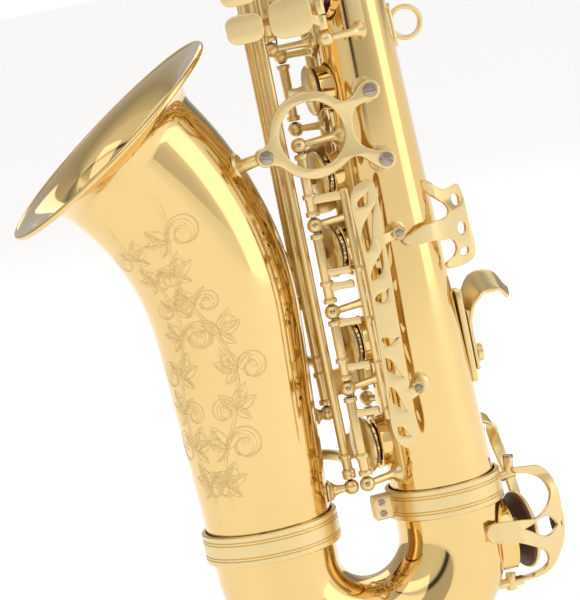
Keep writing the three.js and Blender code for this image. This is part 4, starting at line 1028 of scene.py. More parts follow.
@dataclass
class Stacks:
    """The two rows of keys under the fingers, with their ribs, posts and rods."""

    tubes: Tubes
    keys: KeyWork
    opening: float = 9.0
    right_posts: tuple[float, ...] = (-46.2, -85.3, -128.0, -166.1, -213.9)
    left_posts: tuple[float, ...] = (0.0, 38.5, 70.0, 96.5, 124.0)
    bar: Array = field(default_factory=lambda: vec(-28, -32, 0))

    def build(self) -> None:
        """Makes both stacks."""
        self.right_fixed()
        self.right_keys()
        self.left_fixed()
        self.left_keys()

    def right_fixed(self) -> None:
        """The lower stack's rib, posts, steel rod, rod screws and springs."""
        k, line = self.keys, hinge_line("key_f")
        angle = bearing(line)
        rib = Forge().add(k.rib(angle, -220, -40))
        for z in self.right_posts:
            rib.add(*k.tube_post(line, z))
        rib.piece("lower_stack_rib", "horn", Finishes.BRASS, "rh_stack_rib")
        steel = Forge().add(rod(on_line(line, -216.5), on_line(line, -43.6), 1.2))
        for z in self.right_posts:
            face = on_line(line, z) + unit(vec(*SCREW_VIEW)) * (k.ball_radius - 0.5)
            steel.add(slotted_head(face, vec(*SCREW_VIEW), 1.3, 0.7, 35 + z))
        steel.piece("lower_stack_rod", "horn", Finishes.STEEL, "rh_stack_rod")
        runs = [(on_line(line, z) + vec(3, 3.2, 0), on_line(line, z - 17) + vec(3.4, 2.4, 0))
                for z in self.right_posts[:-1]]
        k.springs("lower_stack_springs", runs)

    def right_keys(self) -> None:
        """F sharp, F, E and D: cups that stand open, arms, and tails that lie under the long F sharp bar."""
        k, line = self.keys, hinge_line("key_f")
        towards = unit(self.bar - line) * 12.6
        for body, hole, index, tails in (
            ("key_f_sharp", "fSharp", 0, ()), ("key_f", "f", 1, (-109, -116)),
            ("key_e", "e", 2, (-134, -156)), ("key_d", "d", 3, (-179,)),
        ):
            h = self.tubes.body[hole]
            high, low = self.right_posts[index] - k.half, self.right_posts[index + 1] + k.half
            metal = Forge().add(*k.hinge(line, low, high, (low, high - 2.4, low + 8.5)),
                                k.arm_to(line, h, h.root[2]), *k.cup(h))
            for z in tails:
                end = on_line(line, z) + towards
                metal.add(strap([on_line(line, z), (on_line(line, z) + end) / 2, end], [4.6, 3.4, 3.8], 2.2,
                                Z, roundness=0.6))
            if body == "key_f_sharp":
                metal.add(strap([on_line(line, -73), (on_line(line, -73) + on_line(self.bar, -73)) / 2,
                                 on_line(self.bar, -73)], 4.4, 2.6))
                metal.add(rod(on_line(self.bar, -70), on_line(self.bar, -184), 2.2, sides=24, edge=0.8))
                for z in (-109, -134, -156, -179):
                    metal.add(rod(on_line(self.bar, z) + vec(0.4, 1.0, 0),
                                  on_line(self.bar, z) + vec(-0.8, -2.9, 0), 1.7, sides=18))
            metal.turned(line, Z, self.opening).piece(f"{body}_metal", body, Finishes.BRASS, body)
            Forge().add(k.pad(h)).turned(line, Z, self.opening).piece(f"{body}_pad", body, Finishes.LEATHER)
            self.felts(body, [on_line(line, z) + towards * 0.92 + vec(0.8, 1.6, 0) for z in tails], line,
                       self.opening)

    def felts(self, body: str, spots: list[Array], line: Array, opening: float) -> None:
        """Small felt discs glued under a key's tails.

        Args:
            body: the key.
            spots: middles of the discs, with the key closed.
            line: the hinge line.
            opening: the turn from closed to open, in degrees.
        """
        if not spots:
            return
        work = Forge()
        for spot in spots:
            work.add(rod(spot, spot + vec(0.5, 1.6, 0), 1.8, sides=18))
        work.turned(line, Z, opening).piece(f"{body}_felts", body, Finishes.FELT)

    def left_fixed(self) -> None:
        """The upper stack's rib, posts, steel rod and springs."""
        k, line = self.keys, hinge_line("key_a")
        angle = bearing(line)
        rib = Forge().add(k.rib(angle, -5, 129, 7))
        for z in self.left_posts:
            rib.add(*k.tube_post(line, z))
        rib.piece("upper_stack_rib", "horn", Finishes.BRASS, "lh_stack_rib")
        Forge().add(rod(on_line(line, -2.6), on_line(line, 126.6), 1.2)).piece(
            "upper_stack_rod", "horn", Finishes.STEEL, "lh_stack_rod")
        runs = [(on_line(line, z) + vec(3.4, 2.6, 0), on_line(line, z + 11) + vec(4.4, 2.6, 0))
                for z in self.left_posts[:-1]]
        k.springs("upper_stack_springs", runs)

    def left_keys(self) -> None:
        """G, A, B and small C, each with a pearl touch in a brass rim."""
        k, line = self.keys, hinge_line("key_a")
        for index, (body, hole) in enumerate((("key_g", "g"), ("key_a", "a"), ("key_b", "b"),
                                              ("key_c_small", "c"))):
            h = self.tubes.body[hole]
            low, high = self.left_posts[index] + k.half, self.left_posts[index + 1] - k.half
            z = h.root[2]
            back, front = vec(-32, -5, z), vec(-38.5, -5.5, z)
            out = unit(front - back)
            rim = [(0, 0.4), (3.4, 0.5), (5.2, 2.2), (6.4, 4.2), (6.5, 6.4), (6.1, 6.8), (5.5, 6.6),
                   (5.3, 5.6), (0, 5.6)]
            metal = Forge().add(*k.hinge(line, low, high, (low, high - 2.4)), k.arm_to(line, h, z),
                                *k.cup(h), lathe(rim, back, out, 40))
            metal.turned(line, Z, -self.opening).piece(f"{body}_metal", body, Finishes.BRASS, body)
            Forge().add(k.pad(h)).turned(line, Z, -self.opening).piece(f"{body}_pad", body, Finishes.LEATHER)
            pearl = [(0, 5.2), (5.15, 5.2), (5.15, 6.3), (4.7, 6.7), (3, 6.5), (0, 6.35)]
            Forge().add(lathe(pearl, back, out, 36)).turned(line, Z,
                                                            -self.opening).piece(
                f"{body}_touch", body, Finishes.PEARL)


def route_of(points: list[tuple[float, float, float]]) -> list[Array]:
    """Plain triples as arrays."""
    return [vec(*p) for p in points]


@dataclass
class LowKeys:
    """G sharp, the little finger's table, and the three bell keys on long tubes."""

    tubes: Tubes
    keys: KeyWork
    opening: float = 7.0
    top: float = 45.0
    ends: dict[str, float] = field(default_factory=lambda: {
        "lowBFlat": -121.0, "lowB": -176.0, "lowCSharp": -212.0})
    bodies: dict[str, str] = field(default_factory=lambda: {
        "lowBFlat": "key_low_b_flat", "lowB": "key_low_b", "lowCSharp": "key_low_c_sharp"})

    def build(self) -> None:
        """Makes all of them."""
        self.g_sharp()
        self.table()
        for name in self.ends:
            self.bell_key(name)
        self.supports()

    def g_sharp(self) -> None:
        """The G sharp key, closed on its hole at rest."""
        k, line, h = self.keys, hinge_line("key_g_sharp"), self.tubes.body["gSharp"]
        Forge().add(*k.hinge(line, -37, -9, (-37, -11.4)), k.arm_to(line, h, -23), *k.cup(h)).piece(
            "key_g_sharp_metal", "key_g_sharp", Finishes.BRASS, "key_g_sharp")
        Forge().add(k.pad(h)).piece("key_g_sharp_pad", "key_g_sharp", Finishes.LEATHER)

    def table(self) -> None:
        """The table's four levers, each with a rounded touch plate, and the rib under them."""
        k, line = self.keys, hinge_line("lever_g_sharp")
        for body, low, (px, pz), (w, h), under in (
            ("lever_g_sharp", 6.0, (-37, 15), (21, 19), False),
            ("lever_low_b", 13.3, (-59.5, 14), (18, 14), True),
            ("lever_low_b_flat", 20.6, (-59.5, 32), (18, 14), True),
            ("lever_c_sharp", 27.9, (-37, 35), (21, 16), False),
        ):
            z = low + 3.35
            path = ([on_line(line, z), vec(-29, -30, z), vec(-44, -30, (z + pz) / 2), vec(px + 4, -36.2, pz)]
                    if under else [on_line(line, z), vec(-27, -37.4, (z + pz) / 2), vec(px + 4, -37.6, pz)])
            turn = circle(72)
            c, s = np.cos(turn), np.sin(turn)
            edge = np.stack([px + w / 2 * np.sign(c) * np.abs(c) ** 0.62,
                             pz + h / 2 * np.sign(s) * np.abs(s) ** 0.62], 1)
            points, faces = outline_plate(edge, [], 2.0, 0.7)
            metal = Forge().add(*k.hinge(line, low, low + 6.7), strap(path, [4.6, 4.0, 4.6], 2.4))
            metal.raw(np.stack([points[:, 0], -38 + points[:, 2], points[:, 1]], 1), faces)
            metal.piece(f"{body}_metal", body, Finishes.BRASS, body)
        rib = Forge().add(k.rib(86, -3, 43, 7))
        for z in (1.5, 39.0):
            rib.add(*k.post(self.tubes.around(86, self.tubes.radius(z) + 1.2, z), on_line(line, z)))
        rib.piece("table_posts", "horn", Finishes.BRASS, "table_rib")

    def bell_key(self, name: str) -> None:
        """One bell key: a long tube, an arm over the bell's side, a domed cup, and its tail.

        Args:
            name: of its hole.
        """
        k, body, h = self.keys, self.bodies[name], self.tubes.bell[name]
        line, end = hinge_line(body), self.ends[name]
        z = h.root[2]
        arm_z = max(z, end + 3)
        top, edge = k.cup_top(h), -np.cross(h.direction, Z)
        reach = h.radius + 3
        over = top + edge * (-reach - 1) + h.direction * 1.5
        approach = vec(-49, max(line[1], 10) + 11, arm_z)
        path = [on_line(line, arm_z), approach, vec(over[0], over[1], z), top + h.direction * 0.4]
        tail = vec(line[0] - 9, line[1] - 4, 12)
        metal = Forge().add(*k.hinge(line, end, self.top, (end, self.top - 2.4, arm_z + 3, arm_z - 5)),
                            *k.cup(h), strap(path, [6, 5, 5.4, 7], k.arm, steps=40),
                            strap([on_line(line, 12), (on_line(line, 12) + tail) / 2, tail], 4, 2.4))
        metal.turned(line, Z, -self.opening).piece(f"{body}_metal", body, Finishes.BRASS, body)
        Forge().add(k.pad(h)).turned(line, Z, -self.opening).piece(f"{body}_pad", body, Finishes.LEATHER)

    def supports(self) -> None:
        """The plate along the bell with its three posts, and the bracket that holds the tubes' upper ends."""
        k, t = self.keys, self.tubes
        feet = Forge()
        s = np.linspace(t.bell_at(-221)[0], t.bell_at(-112)[0], 30)
        a = np.linspace(-0.13, 0.13, 7)
        feet.add(self.bell_shell(s, 0.23, a))
        low = t.bell_at(-212 - k.half)[0]
        feet.add(self.bell_shell(np.linspace(low - 4, low + 4, 6), 0.05, np.linspace(-0.45, 0.3, 16)))
        for name, end in self.ends.items():
            z = end - k.half
            head = on_line(hinge_line(self.bodies[name]), z)
            _, centre, radius = t.bell_at(z)
            root = centre + unit(head - centre) * (radius + 1.0)
            feet.add(*k.post(root, head))
        feet.piece("bell_key_posts", "horn", Finishes.BRASS, "bell_key_rib")
        z = self.top + k.half
        heads = [on_line(hinge_line(self.bodies[name]), z) for name in self.ends]
        root = t.around(-35, t.radius(z) + 0.5, z)
        bracket = Forge().add(rod(root, root + t.around(-35, 1.4, 0), 5.2), rod(root, heads[0], 2.7, 2.0))
        bracket.add(rod(heads[0], heads[1], 1.9), rod(heads[1], heads[2], 1.9), *[ball(p) for p in heads])
        bracket.piece("long_tube_bracket", "horn", Finishes.BRASS, "long_rod_bracket")

    def bell_shell(self, s: Array, middle: float, angles: Array) -> Sheet:
        """A thin plate on the bell's back: rows along the bell, columns round it, closed underneath.

        Args:
            s: distances along the bell.
            middle: its angle from the side that faces the body.
            angles: of its columns, from its middle.
        Returns:
            The closed surface.
        """
        t = self.tubes
        centre, tangent = t.bell_spine.at(s)
        side = -np.cross(tangent, Y)
        a = np.concatenate([angles, angles[::-1]]) + middle
        lift = np.concatenate([np.where(np.abs(angles) == np.abs(angles).max(), 1.2, 1.75),
                               np.full(len(angles), 0.3)])
        r = t.bell_radius_at(s)[:, None] + lift[None]
        ring = np.cos(a)[None, :, None] * side[:, None] + np.sin(a)[None, :, None] * Y
        points = centre[:, None] + r[..., None] * ring
        ends = [np.repeat(points[i].mean(0)[None, None], points.shape[1], 1) for i in (0, -1)]
        return Sheet(np.concatenate([ends[0], points, ends[1]]))


@dataclass
class SideKeys:
    """The side keys, palm keys, and the low E flat and C keys."""

    tubes: Tubes
    keys: KeyWork
    foot: float = -115.0
    reach: float = 29.5
    low_c_opening: float = 8.0

    @property
    def arm_reach(self) -> float:
        """From the body tube's axis to the arms that pass outside the hinge tubes."""
        return self.reach + self.keys.tube_radius + 3.6

    def build(self) -> None:
        """Makes all of them."""
        self.side()
        self.palm()
        self.low()

    def side(self) -> None:
        """Three side keys on long tubes, with curved touches, and their rib."""
        k, t, around = self.keys, self.tubes, self.tubes.around
        rib = Forge().add(k.rib(-64, self.foot - 5, 155))
        rib.add(self.cross_plate(-64, self.foot))
        for body, hole, top, touch in (("side_key_b_flat", "sideBFlat", 40, -97),
                                       ("side_key_c", "sideC", 70, -78),
                                       ("side_key_e", "sideE", 150, -59)):
            line, h = hinge_line(body), t.body[hole]
            z = h.root[2]
            angle = bearing(line)
            path = [on_line(line, z), around(angle - 3, self.arm_reach, z),
                    around((angle - 118) / 2 - 4, self.arm_reach + 0.5, z),
                    around(-104, 31, z), k.cup_top(h)]
            paddle = [on_line(line, touch), around(angle + 3, self.arm_reach, touch),
                      around(angle / 2 - 20, self.arm_reach + 2, touch),
                      around(-36, self.arm_reach + 2, touch)]
            Forge().add(*k.hinge(line, self.foot + k.half, top - k.half,
                                 (self.foot + k.half, top - k.half - 2.4)), *k.cup(h),
                        strap(path, [4.6, 4.2, 4.4], k.arm),
                        strap(paddle, [9, 13, 15.5, 15.5, 13], PLATE, steps=40)).piece(
                f"{body}_metal", body, Finishes.BRASS, body)
            Forge().add(k.pad(h)).piece(f"{body}_pad", body, Finishes.LEATHER)
            rib.add(*k.tube_post(line, self.foot), *k.tube_post(line, top), self.cross_plate(-64, top))
        rib.piece("side_key_posts", "horn", Finishes.BRASS, "side_key_rib")

    def cross_plate(self, degrees: float, z: float) -> Sheet:
        """A short plate across a rib, wide enough for three posts."""
        return self.keys.rib(degrees, z - 4, z + 4, 21)

    def palm(self) -> None:
        """Three palm keys with their leaf-shaped touches, and their rib."""
        k, t, around = self.keys, self.tubes, self.tubes.around
        posts = (116, 140, 162, 184)
        rib = Forge().add(k.rib(125, 111, 189, 7))
        for index, (body, hole) in enumerate((("palm_key_d", "palmD"), ("palm_key_e_flat", "palmEFlat"),
                                              ("palm_key_f", "palmF"))):
            line, h = hinge_line(body), t.body[hole]
            low, high = posts[index] + k.half, posts[index + 1] - k.half
            middle, z = (low + high) / 2, h.root[2]
            Forge().add(*k.hinge(line, low, high), *k.cup(h),
                        strap([on_line(line, middle), around(112, 27.5, (middle + z) / 2), k.cup_top(h)],
                              4.5, k.arm), strap([on_line(line, middle), around(138, 28.5, middle),
                                                  around(152, 30, middle)], [8, 12, 12.5, 10],
                                                 PLATE)).piece(f"{body}_metal", body, Finishes.BRASS, body)
            Forge().add(k.pad(h)).piece(f"{body}_pad", body, Finishes.LEATHER)
        for z in posts:
            rib.add(*k.tube_post(hinge_line("palm_key_d"), z))
        rib.piece("palm_key_posts", "horn", Finishes.BRASS, "palm_key_rib")

    def low(self) -> None:
        """The low E flat key, the low C lever and the low C key whose cup stands open behind the bow."""
        k, t = self.keys, self.tubes
        line, h = hinge_line("key_e_flat"), t.body["eFlat"]
        Forge().add(*k.hinge(line, -216 + k.half, -183 - k.half), *k.cup(h),
                    strap([on_line(line, -200), vec(-8, 41, -200), k.cup_top(h)], 6, k.arm),
                    strap(route_of([(line[0], line[1], -205), (-28, 39.5, -205), (-40, 35, -205)]),
                          [9, 13.5, 13.5], PLATE)).piece(
            "key_e_flat_metal", "key_e_flat", Finishes.BRASS, "key_e_flat")
        Forge().add(k.pad(h)).piece("key_e_flat_pad", "key_e_flat", Finishes.LEATHER)
        z = -171.5
        Forge().add(*k.hinge(line, -183 + k.half, -160 - k.half),
                    strap(route_of([(line[0], line[1], z), (-28, 39.5, z), (-40, 35, z)]), [9, 13.5, 13.5],
                          PLATE), strap(route_of([(line[0], line[1], z), (-5, 43, z), (14, 42, z)]),
                                        [5, 5, 4], k.arm)).piece("lever_low_c_metal", "lever_low_c",
                                                                 Finishes.BRASS, "lever_low_c")
        line, h = hinge_line("key_low_c"), t.low_c
        low, high = -212 + k.half, -176 - k.half
        top, zc = k.cup_top(h), h.root[2]
        path = [on_line(line, low + 3), vec(38.5, 36, low - 1), vec(40, 33, low - 14), vec(39, 20, zc + 15),
                vec(top[0] + 0.8, 8, zc + 3), top]
        Forge().add(*k.hinge(line, low, high, (low, high - 2.4)), *k.cup(h),
                    strap(path, 6, k.arm, vec(-0.3, 0.5, 1), 56),
                    strap(route_of([(line[0], line[1], high - 4), (26, 40, high - 4), (19, 40, high - 4)]),
                          5, k.arm)).turned(
            line, Z, self.low_c_opening).piece("key_low_c_metal", "key_low_c", Finishes.BRASS, "key_low_c")
        Forge().add(k.pad(h)).turned(line, Z,
                                     self.low_c_opening).piece(
            "key_low_c_pad", "key_low_c", Finishes.LEATHER)
        rib = Forge()
        for at, posts in ((hinge_line("key_e_flat"), (-216, -183, -160)), (line, (-212, -176))):
            rib.add(k.rib(bearing(at), -221, -155))
            for height in posts:
                rib.add(*k.tube_post(at, height))
        rib.piece("low_key_posts", "horn", Finishes.BRASS, "low_key_rib")


@dataclass
class Guards:
    """The pierced clothing guard, the rear guard, the low C guard and the bell keys' guard."""

    tubes: Tubes
    keys: KeyWork
    leaf_ends: tuple[tuple, ...] = (
        ((-17.6, -73), (-23.8, -79.4), 4.2, 0.8), ((-15.4, -80), (-23.4, -101.5), 5.4, -1.8),
                 ((-16.2, -101.5), (-23.9, -115.2), 5.0, 1.0), ((-16.8, -120.4), (-24.4, -125.2), 5.0, 1.2),
                 ((-17.6, -145), (-25.2, -143.6), 4.0, 1.6), ((-18.2, -164), (-25.4, -153), 4.6, 0.9),
                 ((-19.6, -180.5), (-25.8, -167), 4.6, 1.2), ((-20.2, -192.6), (-26, -187), 4.0, 0.6))
    clothing_y: float = -40.0

    def build(self) -> None:
        """Makes all four."""
        self.clothing()
        self.rear()
        self.low_c()
        self.bell()

    def clothing(self) -> None:
        """The long guard at the player's left, with eight leaf-shaped cut-outs, on two posts."""
        edge = round_outline([(-16.1, -67.5), (-21.8, -68.8), (-25.5, -72.1), (-26.9, -77), (-26.5, -88),
                              (-25.7, -108.4), (-26.2, -130), (-27.5, -162), (-28.3, -177), (-28.4, -190),
                              (-26, -195.8), (-21.8, -198.3), (-18.6, -196), (-16.1, -191), (-16.1, -185),
                              (-17.2, -176), (-16.4, -164), (-16.2, -150), (-15.2, -133), (-14.2, -112),
                              (-14, -94), (-13.3, -82), (-13.4, -73), (-14, -69)], 220)
        leaves = [drop_shape(tail, head, width, bow) for tail, head, width, bow in self.leaf_ends]
        points, faces = outline_plate(edge, leaves, 1.6)
        guard = Forge().raw(np.stack([points[:, 0], self.clothing_y + points[:, 2], points[:, 1]], 1), faces)
        screws = Forge()
        for x, z in ((-6, -96), (-11.7, -171)):
            head = vec(x, -36, z)
            root = vec(x * 0.55, -self.tubes.radius(z) * 0.93, z)
            guard.add(*self.keys.post(root, head),
                      strap([head, vec(-13, -38.6, z - 1), vec(-18, -39.9, z - 2)], [4, 4.6, 6.5], PLATE))
            screws.add(slotted_head(vec(x, -39.4, z), -Y, 2.3, 1.0, 30))
        guard.piece("clothing_guard_plate", "horn", Finishes.BRASS, "clothing_guard")
        screws.piece("clothing_guard_screws", "horn", Finishes.STEEL)

    def rear(self) -> None:
        """The rear guard: a pierced plate with three arms, wrapped round the back of the tube.

        The outline is drawn flat in (x, z) and sliced into narrow strips; each vertex then takes its depth
        from y = mix(middle arm's line, outer arms' line, smooth share of |z + 102| from 8 to 15).
        """
        edge = round_outline([(-1.9, -101.4), (3, -99), (9.3, -96.6), (16, -96), (22.5, -95.6),
                              (25.5, -93.3), (24.9, -89.8), (22.3, -87.6), (18, -83.5), (14.6, -78.5),
                              (16, -75.9), (19.5, -78), (23.6, -82), (29, -83.2), (34.8, -82.4), (36.9, -88),
                              (37.7, -102.1), (38.4, -113.5), (37.3, -119.2), (33, -121.3), (26, -121.6),
                              (20.6, -121), (19.4, -118.6), (22, -117.2), (25.6, -115.2), (26.3, -111),
                              (24.4, -107.4), (18, -106), (11.5, -104.9), (5, -105.2), (0.5, -104.6)], 260)
        turn = circle(28)
        holes = [np.stack([x + a * np.cos(turn), z + b * np.sin(turn)], 1) for x, z, a, b in (
            (31.8, -103.5, 3.2, 3.2), (31.7, -89.4, 2.6, 3.0), (31.4, -115.2, 3.0, 2.2))]
        points, faces = outline_plate(edge, holes, 1.8)
        points, faces = sliced(points, faces, 2.2)
        x, z = points[:, 0], points[:, 1]
        middle = np.interp(x, [-3, 4, 10, 14, 20, 28, 37], [-23.6, -25.2, -25.7, -25, -21.2, -14.2, -3.6])
        outer = np.interp(x, [14, 17, 20, 29, 37], [-13.4, -14.6, -15, -9.4, -3.4])
        share = np.clip((np.abs(z + 102) - 8) / 7, 0, 1)
        depth = middle + (outer - middle) * share * share * (3 - 2 * share)
        guard = Forge().raw(np.stack([x + points[:, 2] * 0.6, depth - points[:, 2] * 0.8, z], 1), faces)
        guard.piece("rear_guard_plate", "horn", Finishes.BRASS, "rear_guard")

    def low_c(self) -> None:
        """The low C guard: a hoop outside the open cup, and a pierced plate with an arm to the bow's left.

        The plate's outline is drawn as it looks from the left, (u, v). A vertex at depth y then lies at
        x = u + 0.1944 y and z = v - 0.1305 y, where y is the arm's line near the middle and -3.4 elsewhere.
        """
        zc, ring = self.tubes.low_c.root[2], self.tubes.bottom - GAP / 2
        hoop = [(34, 0, ring + 1), (40, 0, ring + 1.5), (48, 0, ring - 1), (54.8, 0, zc + 12), (56, 0, zc),
                (53, 0, zc - 12), (44, 0, zc - 22.5), (37, 0, zc - 24.5), (29, 0, zc - 25)]
        edge = round_outline([(36, -228.0), (44, -228.4), (49.6, -229.6), (54.6, -236), (56.9, -245.3),
                              (56.2, -257.8), (53.6, -270.5), (49.6, -278.4), (44, -283.2), (36, -284.6),
                              (36.6, -282.7), (42.6, -281), (45.4, -277.2), (44.4, -272.6), (39.6, -268.3),
                              (30.7, -263), (17, -259.6), (15.4, -255.4), (18.2, -251.2), (32.9, -252),
                              (42, -253.6), (48.6, -250.6), (52, -246), (52.2, -241.4), (49.4, -236.4),
                              (44, -232.6), (36.4, -230.2)], 260)
        slot = drop_shape((34.4, -257), (53.2, -260.8), 9.6)
        points, faces = sliced(*outline_plate(edge, [slot], 1.9), 2.4)
        depth = np.interp(points[:, 0], [15, 20, 33, 40, 46, 52, 57],
                          [-24.5, -27.4, -28.2, -22, -13.5, -6.5, -3])
        share = np.clip((np.abs(points[:, 1] + 256.5) - 9) / 14, 0, 1)
        depth = depth + (-3.4 - depth) * share * share * (3 - 2 * share)
        placed = np.stack([points[:, 0] + 0.1944 * depth + points[:, 2] * 0.5, depth - points[:, 2] * 0.85,
                           points[:, 1] - 0.1305 * depth], 1)
        guard = Forge().add(strap(route_of(hoop), [5, 5.5, 6, 6, 5], PLATE, Y, 72)).raw(placed, faces)
        guard.add(rod(vec(27, 0, ring), vec(37, 0, ring + 1), 2.6),
                  rod(vec(8, 0, zc - 25), vec(31, 0, zc - 25.3), 2.4))
        guard.add(rod(vec(35.2, 0, zc + 37), vec(33.8, 0, zc + 28), 2.6),
                  rod(vec(25, 0, zc - 20.5), vec(24.2, 0, zc - 29), 2.6))
        guard.piece("low_c_guard_hoop", "horn", Finishes.BRASS, "low_c_guard")
        head = vec(35.2, 0, zc + 37)
        Forge().add(slotted_head(head, unit(vec(0.15, 0, 1)), 2.7,
                                 1.2)).piece("low_c_guard_screw", "horn", Finishes.STEEL)
        bumper = vec(51.6, 0, zc - 1)
        Forge().add(rod(bumper, bumper + vec(3.2, 0, 0),
                        5.5)).piece("low_c_guard_felt", "horn", Finishes.FELT)

    def bell(self) -> None:
        """The guard over the bell keys: a bar, three rails and round bumpers, all in brass."""
        t, h = self.tubes, self.tubes.bell["lowB"]
        out, side = h.direction, -np.cross(h.direction, Z)
        reach = h.top + 19

        def place(z: float, along: float, across: float) -> Array:
            """A point out from the bell's middle at a height, and across it."""
            return t.bell_at(z)[1] + out * along + side * across

        guard = Forge()
        for z in (-77, -130.5, -183):
            guard.add(strap([place(z, 22, 31), place(z, 46, 30), place(z, reach, 14), place(z, reach, -12)],
                            [8, 6, 6.5, 8], PLATE, Z, 48))
            guard.add(rod(place(z, reach - 2.5, 8), place(z, reach + 2.5, 8), 5.2, edge=0.7))
        guard.add(strap([place(z, reach, 8) for z in (-75, -130, -185)], 8, PLATE, side, 40))
        guard.piece("bell_key_guard_frame", "horn", Finishes.BRASS, "bell_key_guard")


def sliced(points: Array, faces: list, step: float) -> tuple[Array, list]:
    """Cuts a flat mesh along evenly spaced lines in two directions, so that it can be bent smoothly.

    Args:
        points: three columns.
        faces: vertex numbers.
        step: between two lines.
    Returns:
        The new points and faces.
    """
    work = bmesh.new()
    vertices = [work.verts.new(p) for p in points]
    for face in faces:
        try:
            work.faces.new([vertices[i] for i in face])
        except ValueError:
            continue
    for axis in (0, 1):
        for place in np.arange(points[:, axis].min() + step / 2, points[:, axis].max(), step):
            centre, normal = Vector((0, 0, 0)), Vector((0, 0, 0))
            centre[axis], normal[axis] = place, 1
            geometry = [*work.verts, *work.edges, *work.faces]
            bmesh.ops.bisect_plane(work, geom=geometry, plane_co=centre, plane_no=normal)
    work.verts.index_update()
    made = np.array([v.co[:] for v in work.verts]), [tuple(v.index for v in f.verts) for f in work.faces]
    work.free()
    return made


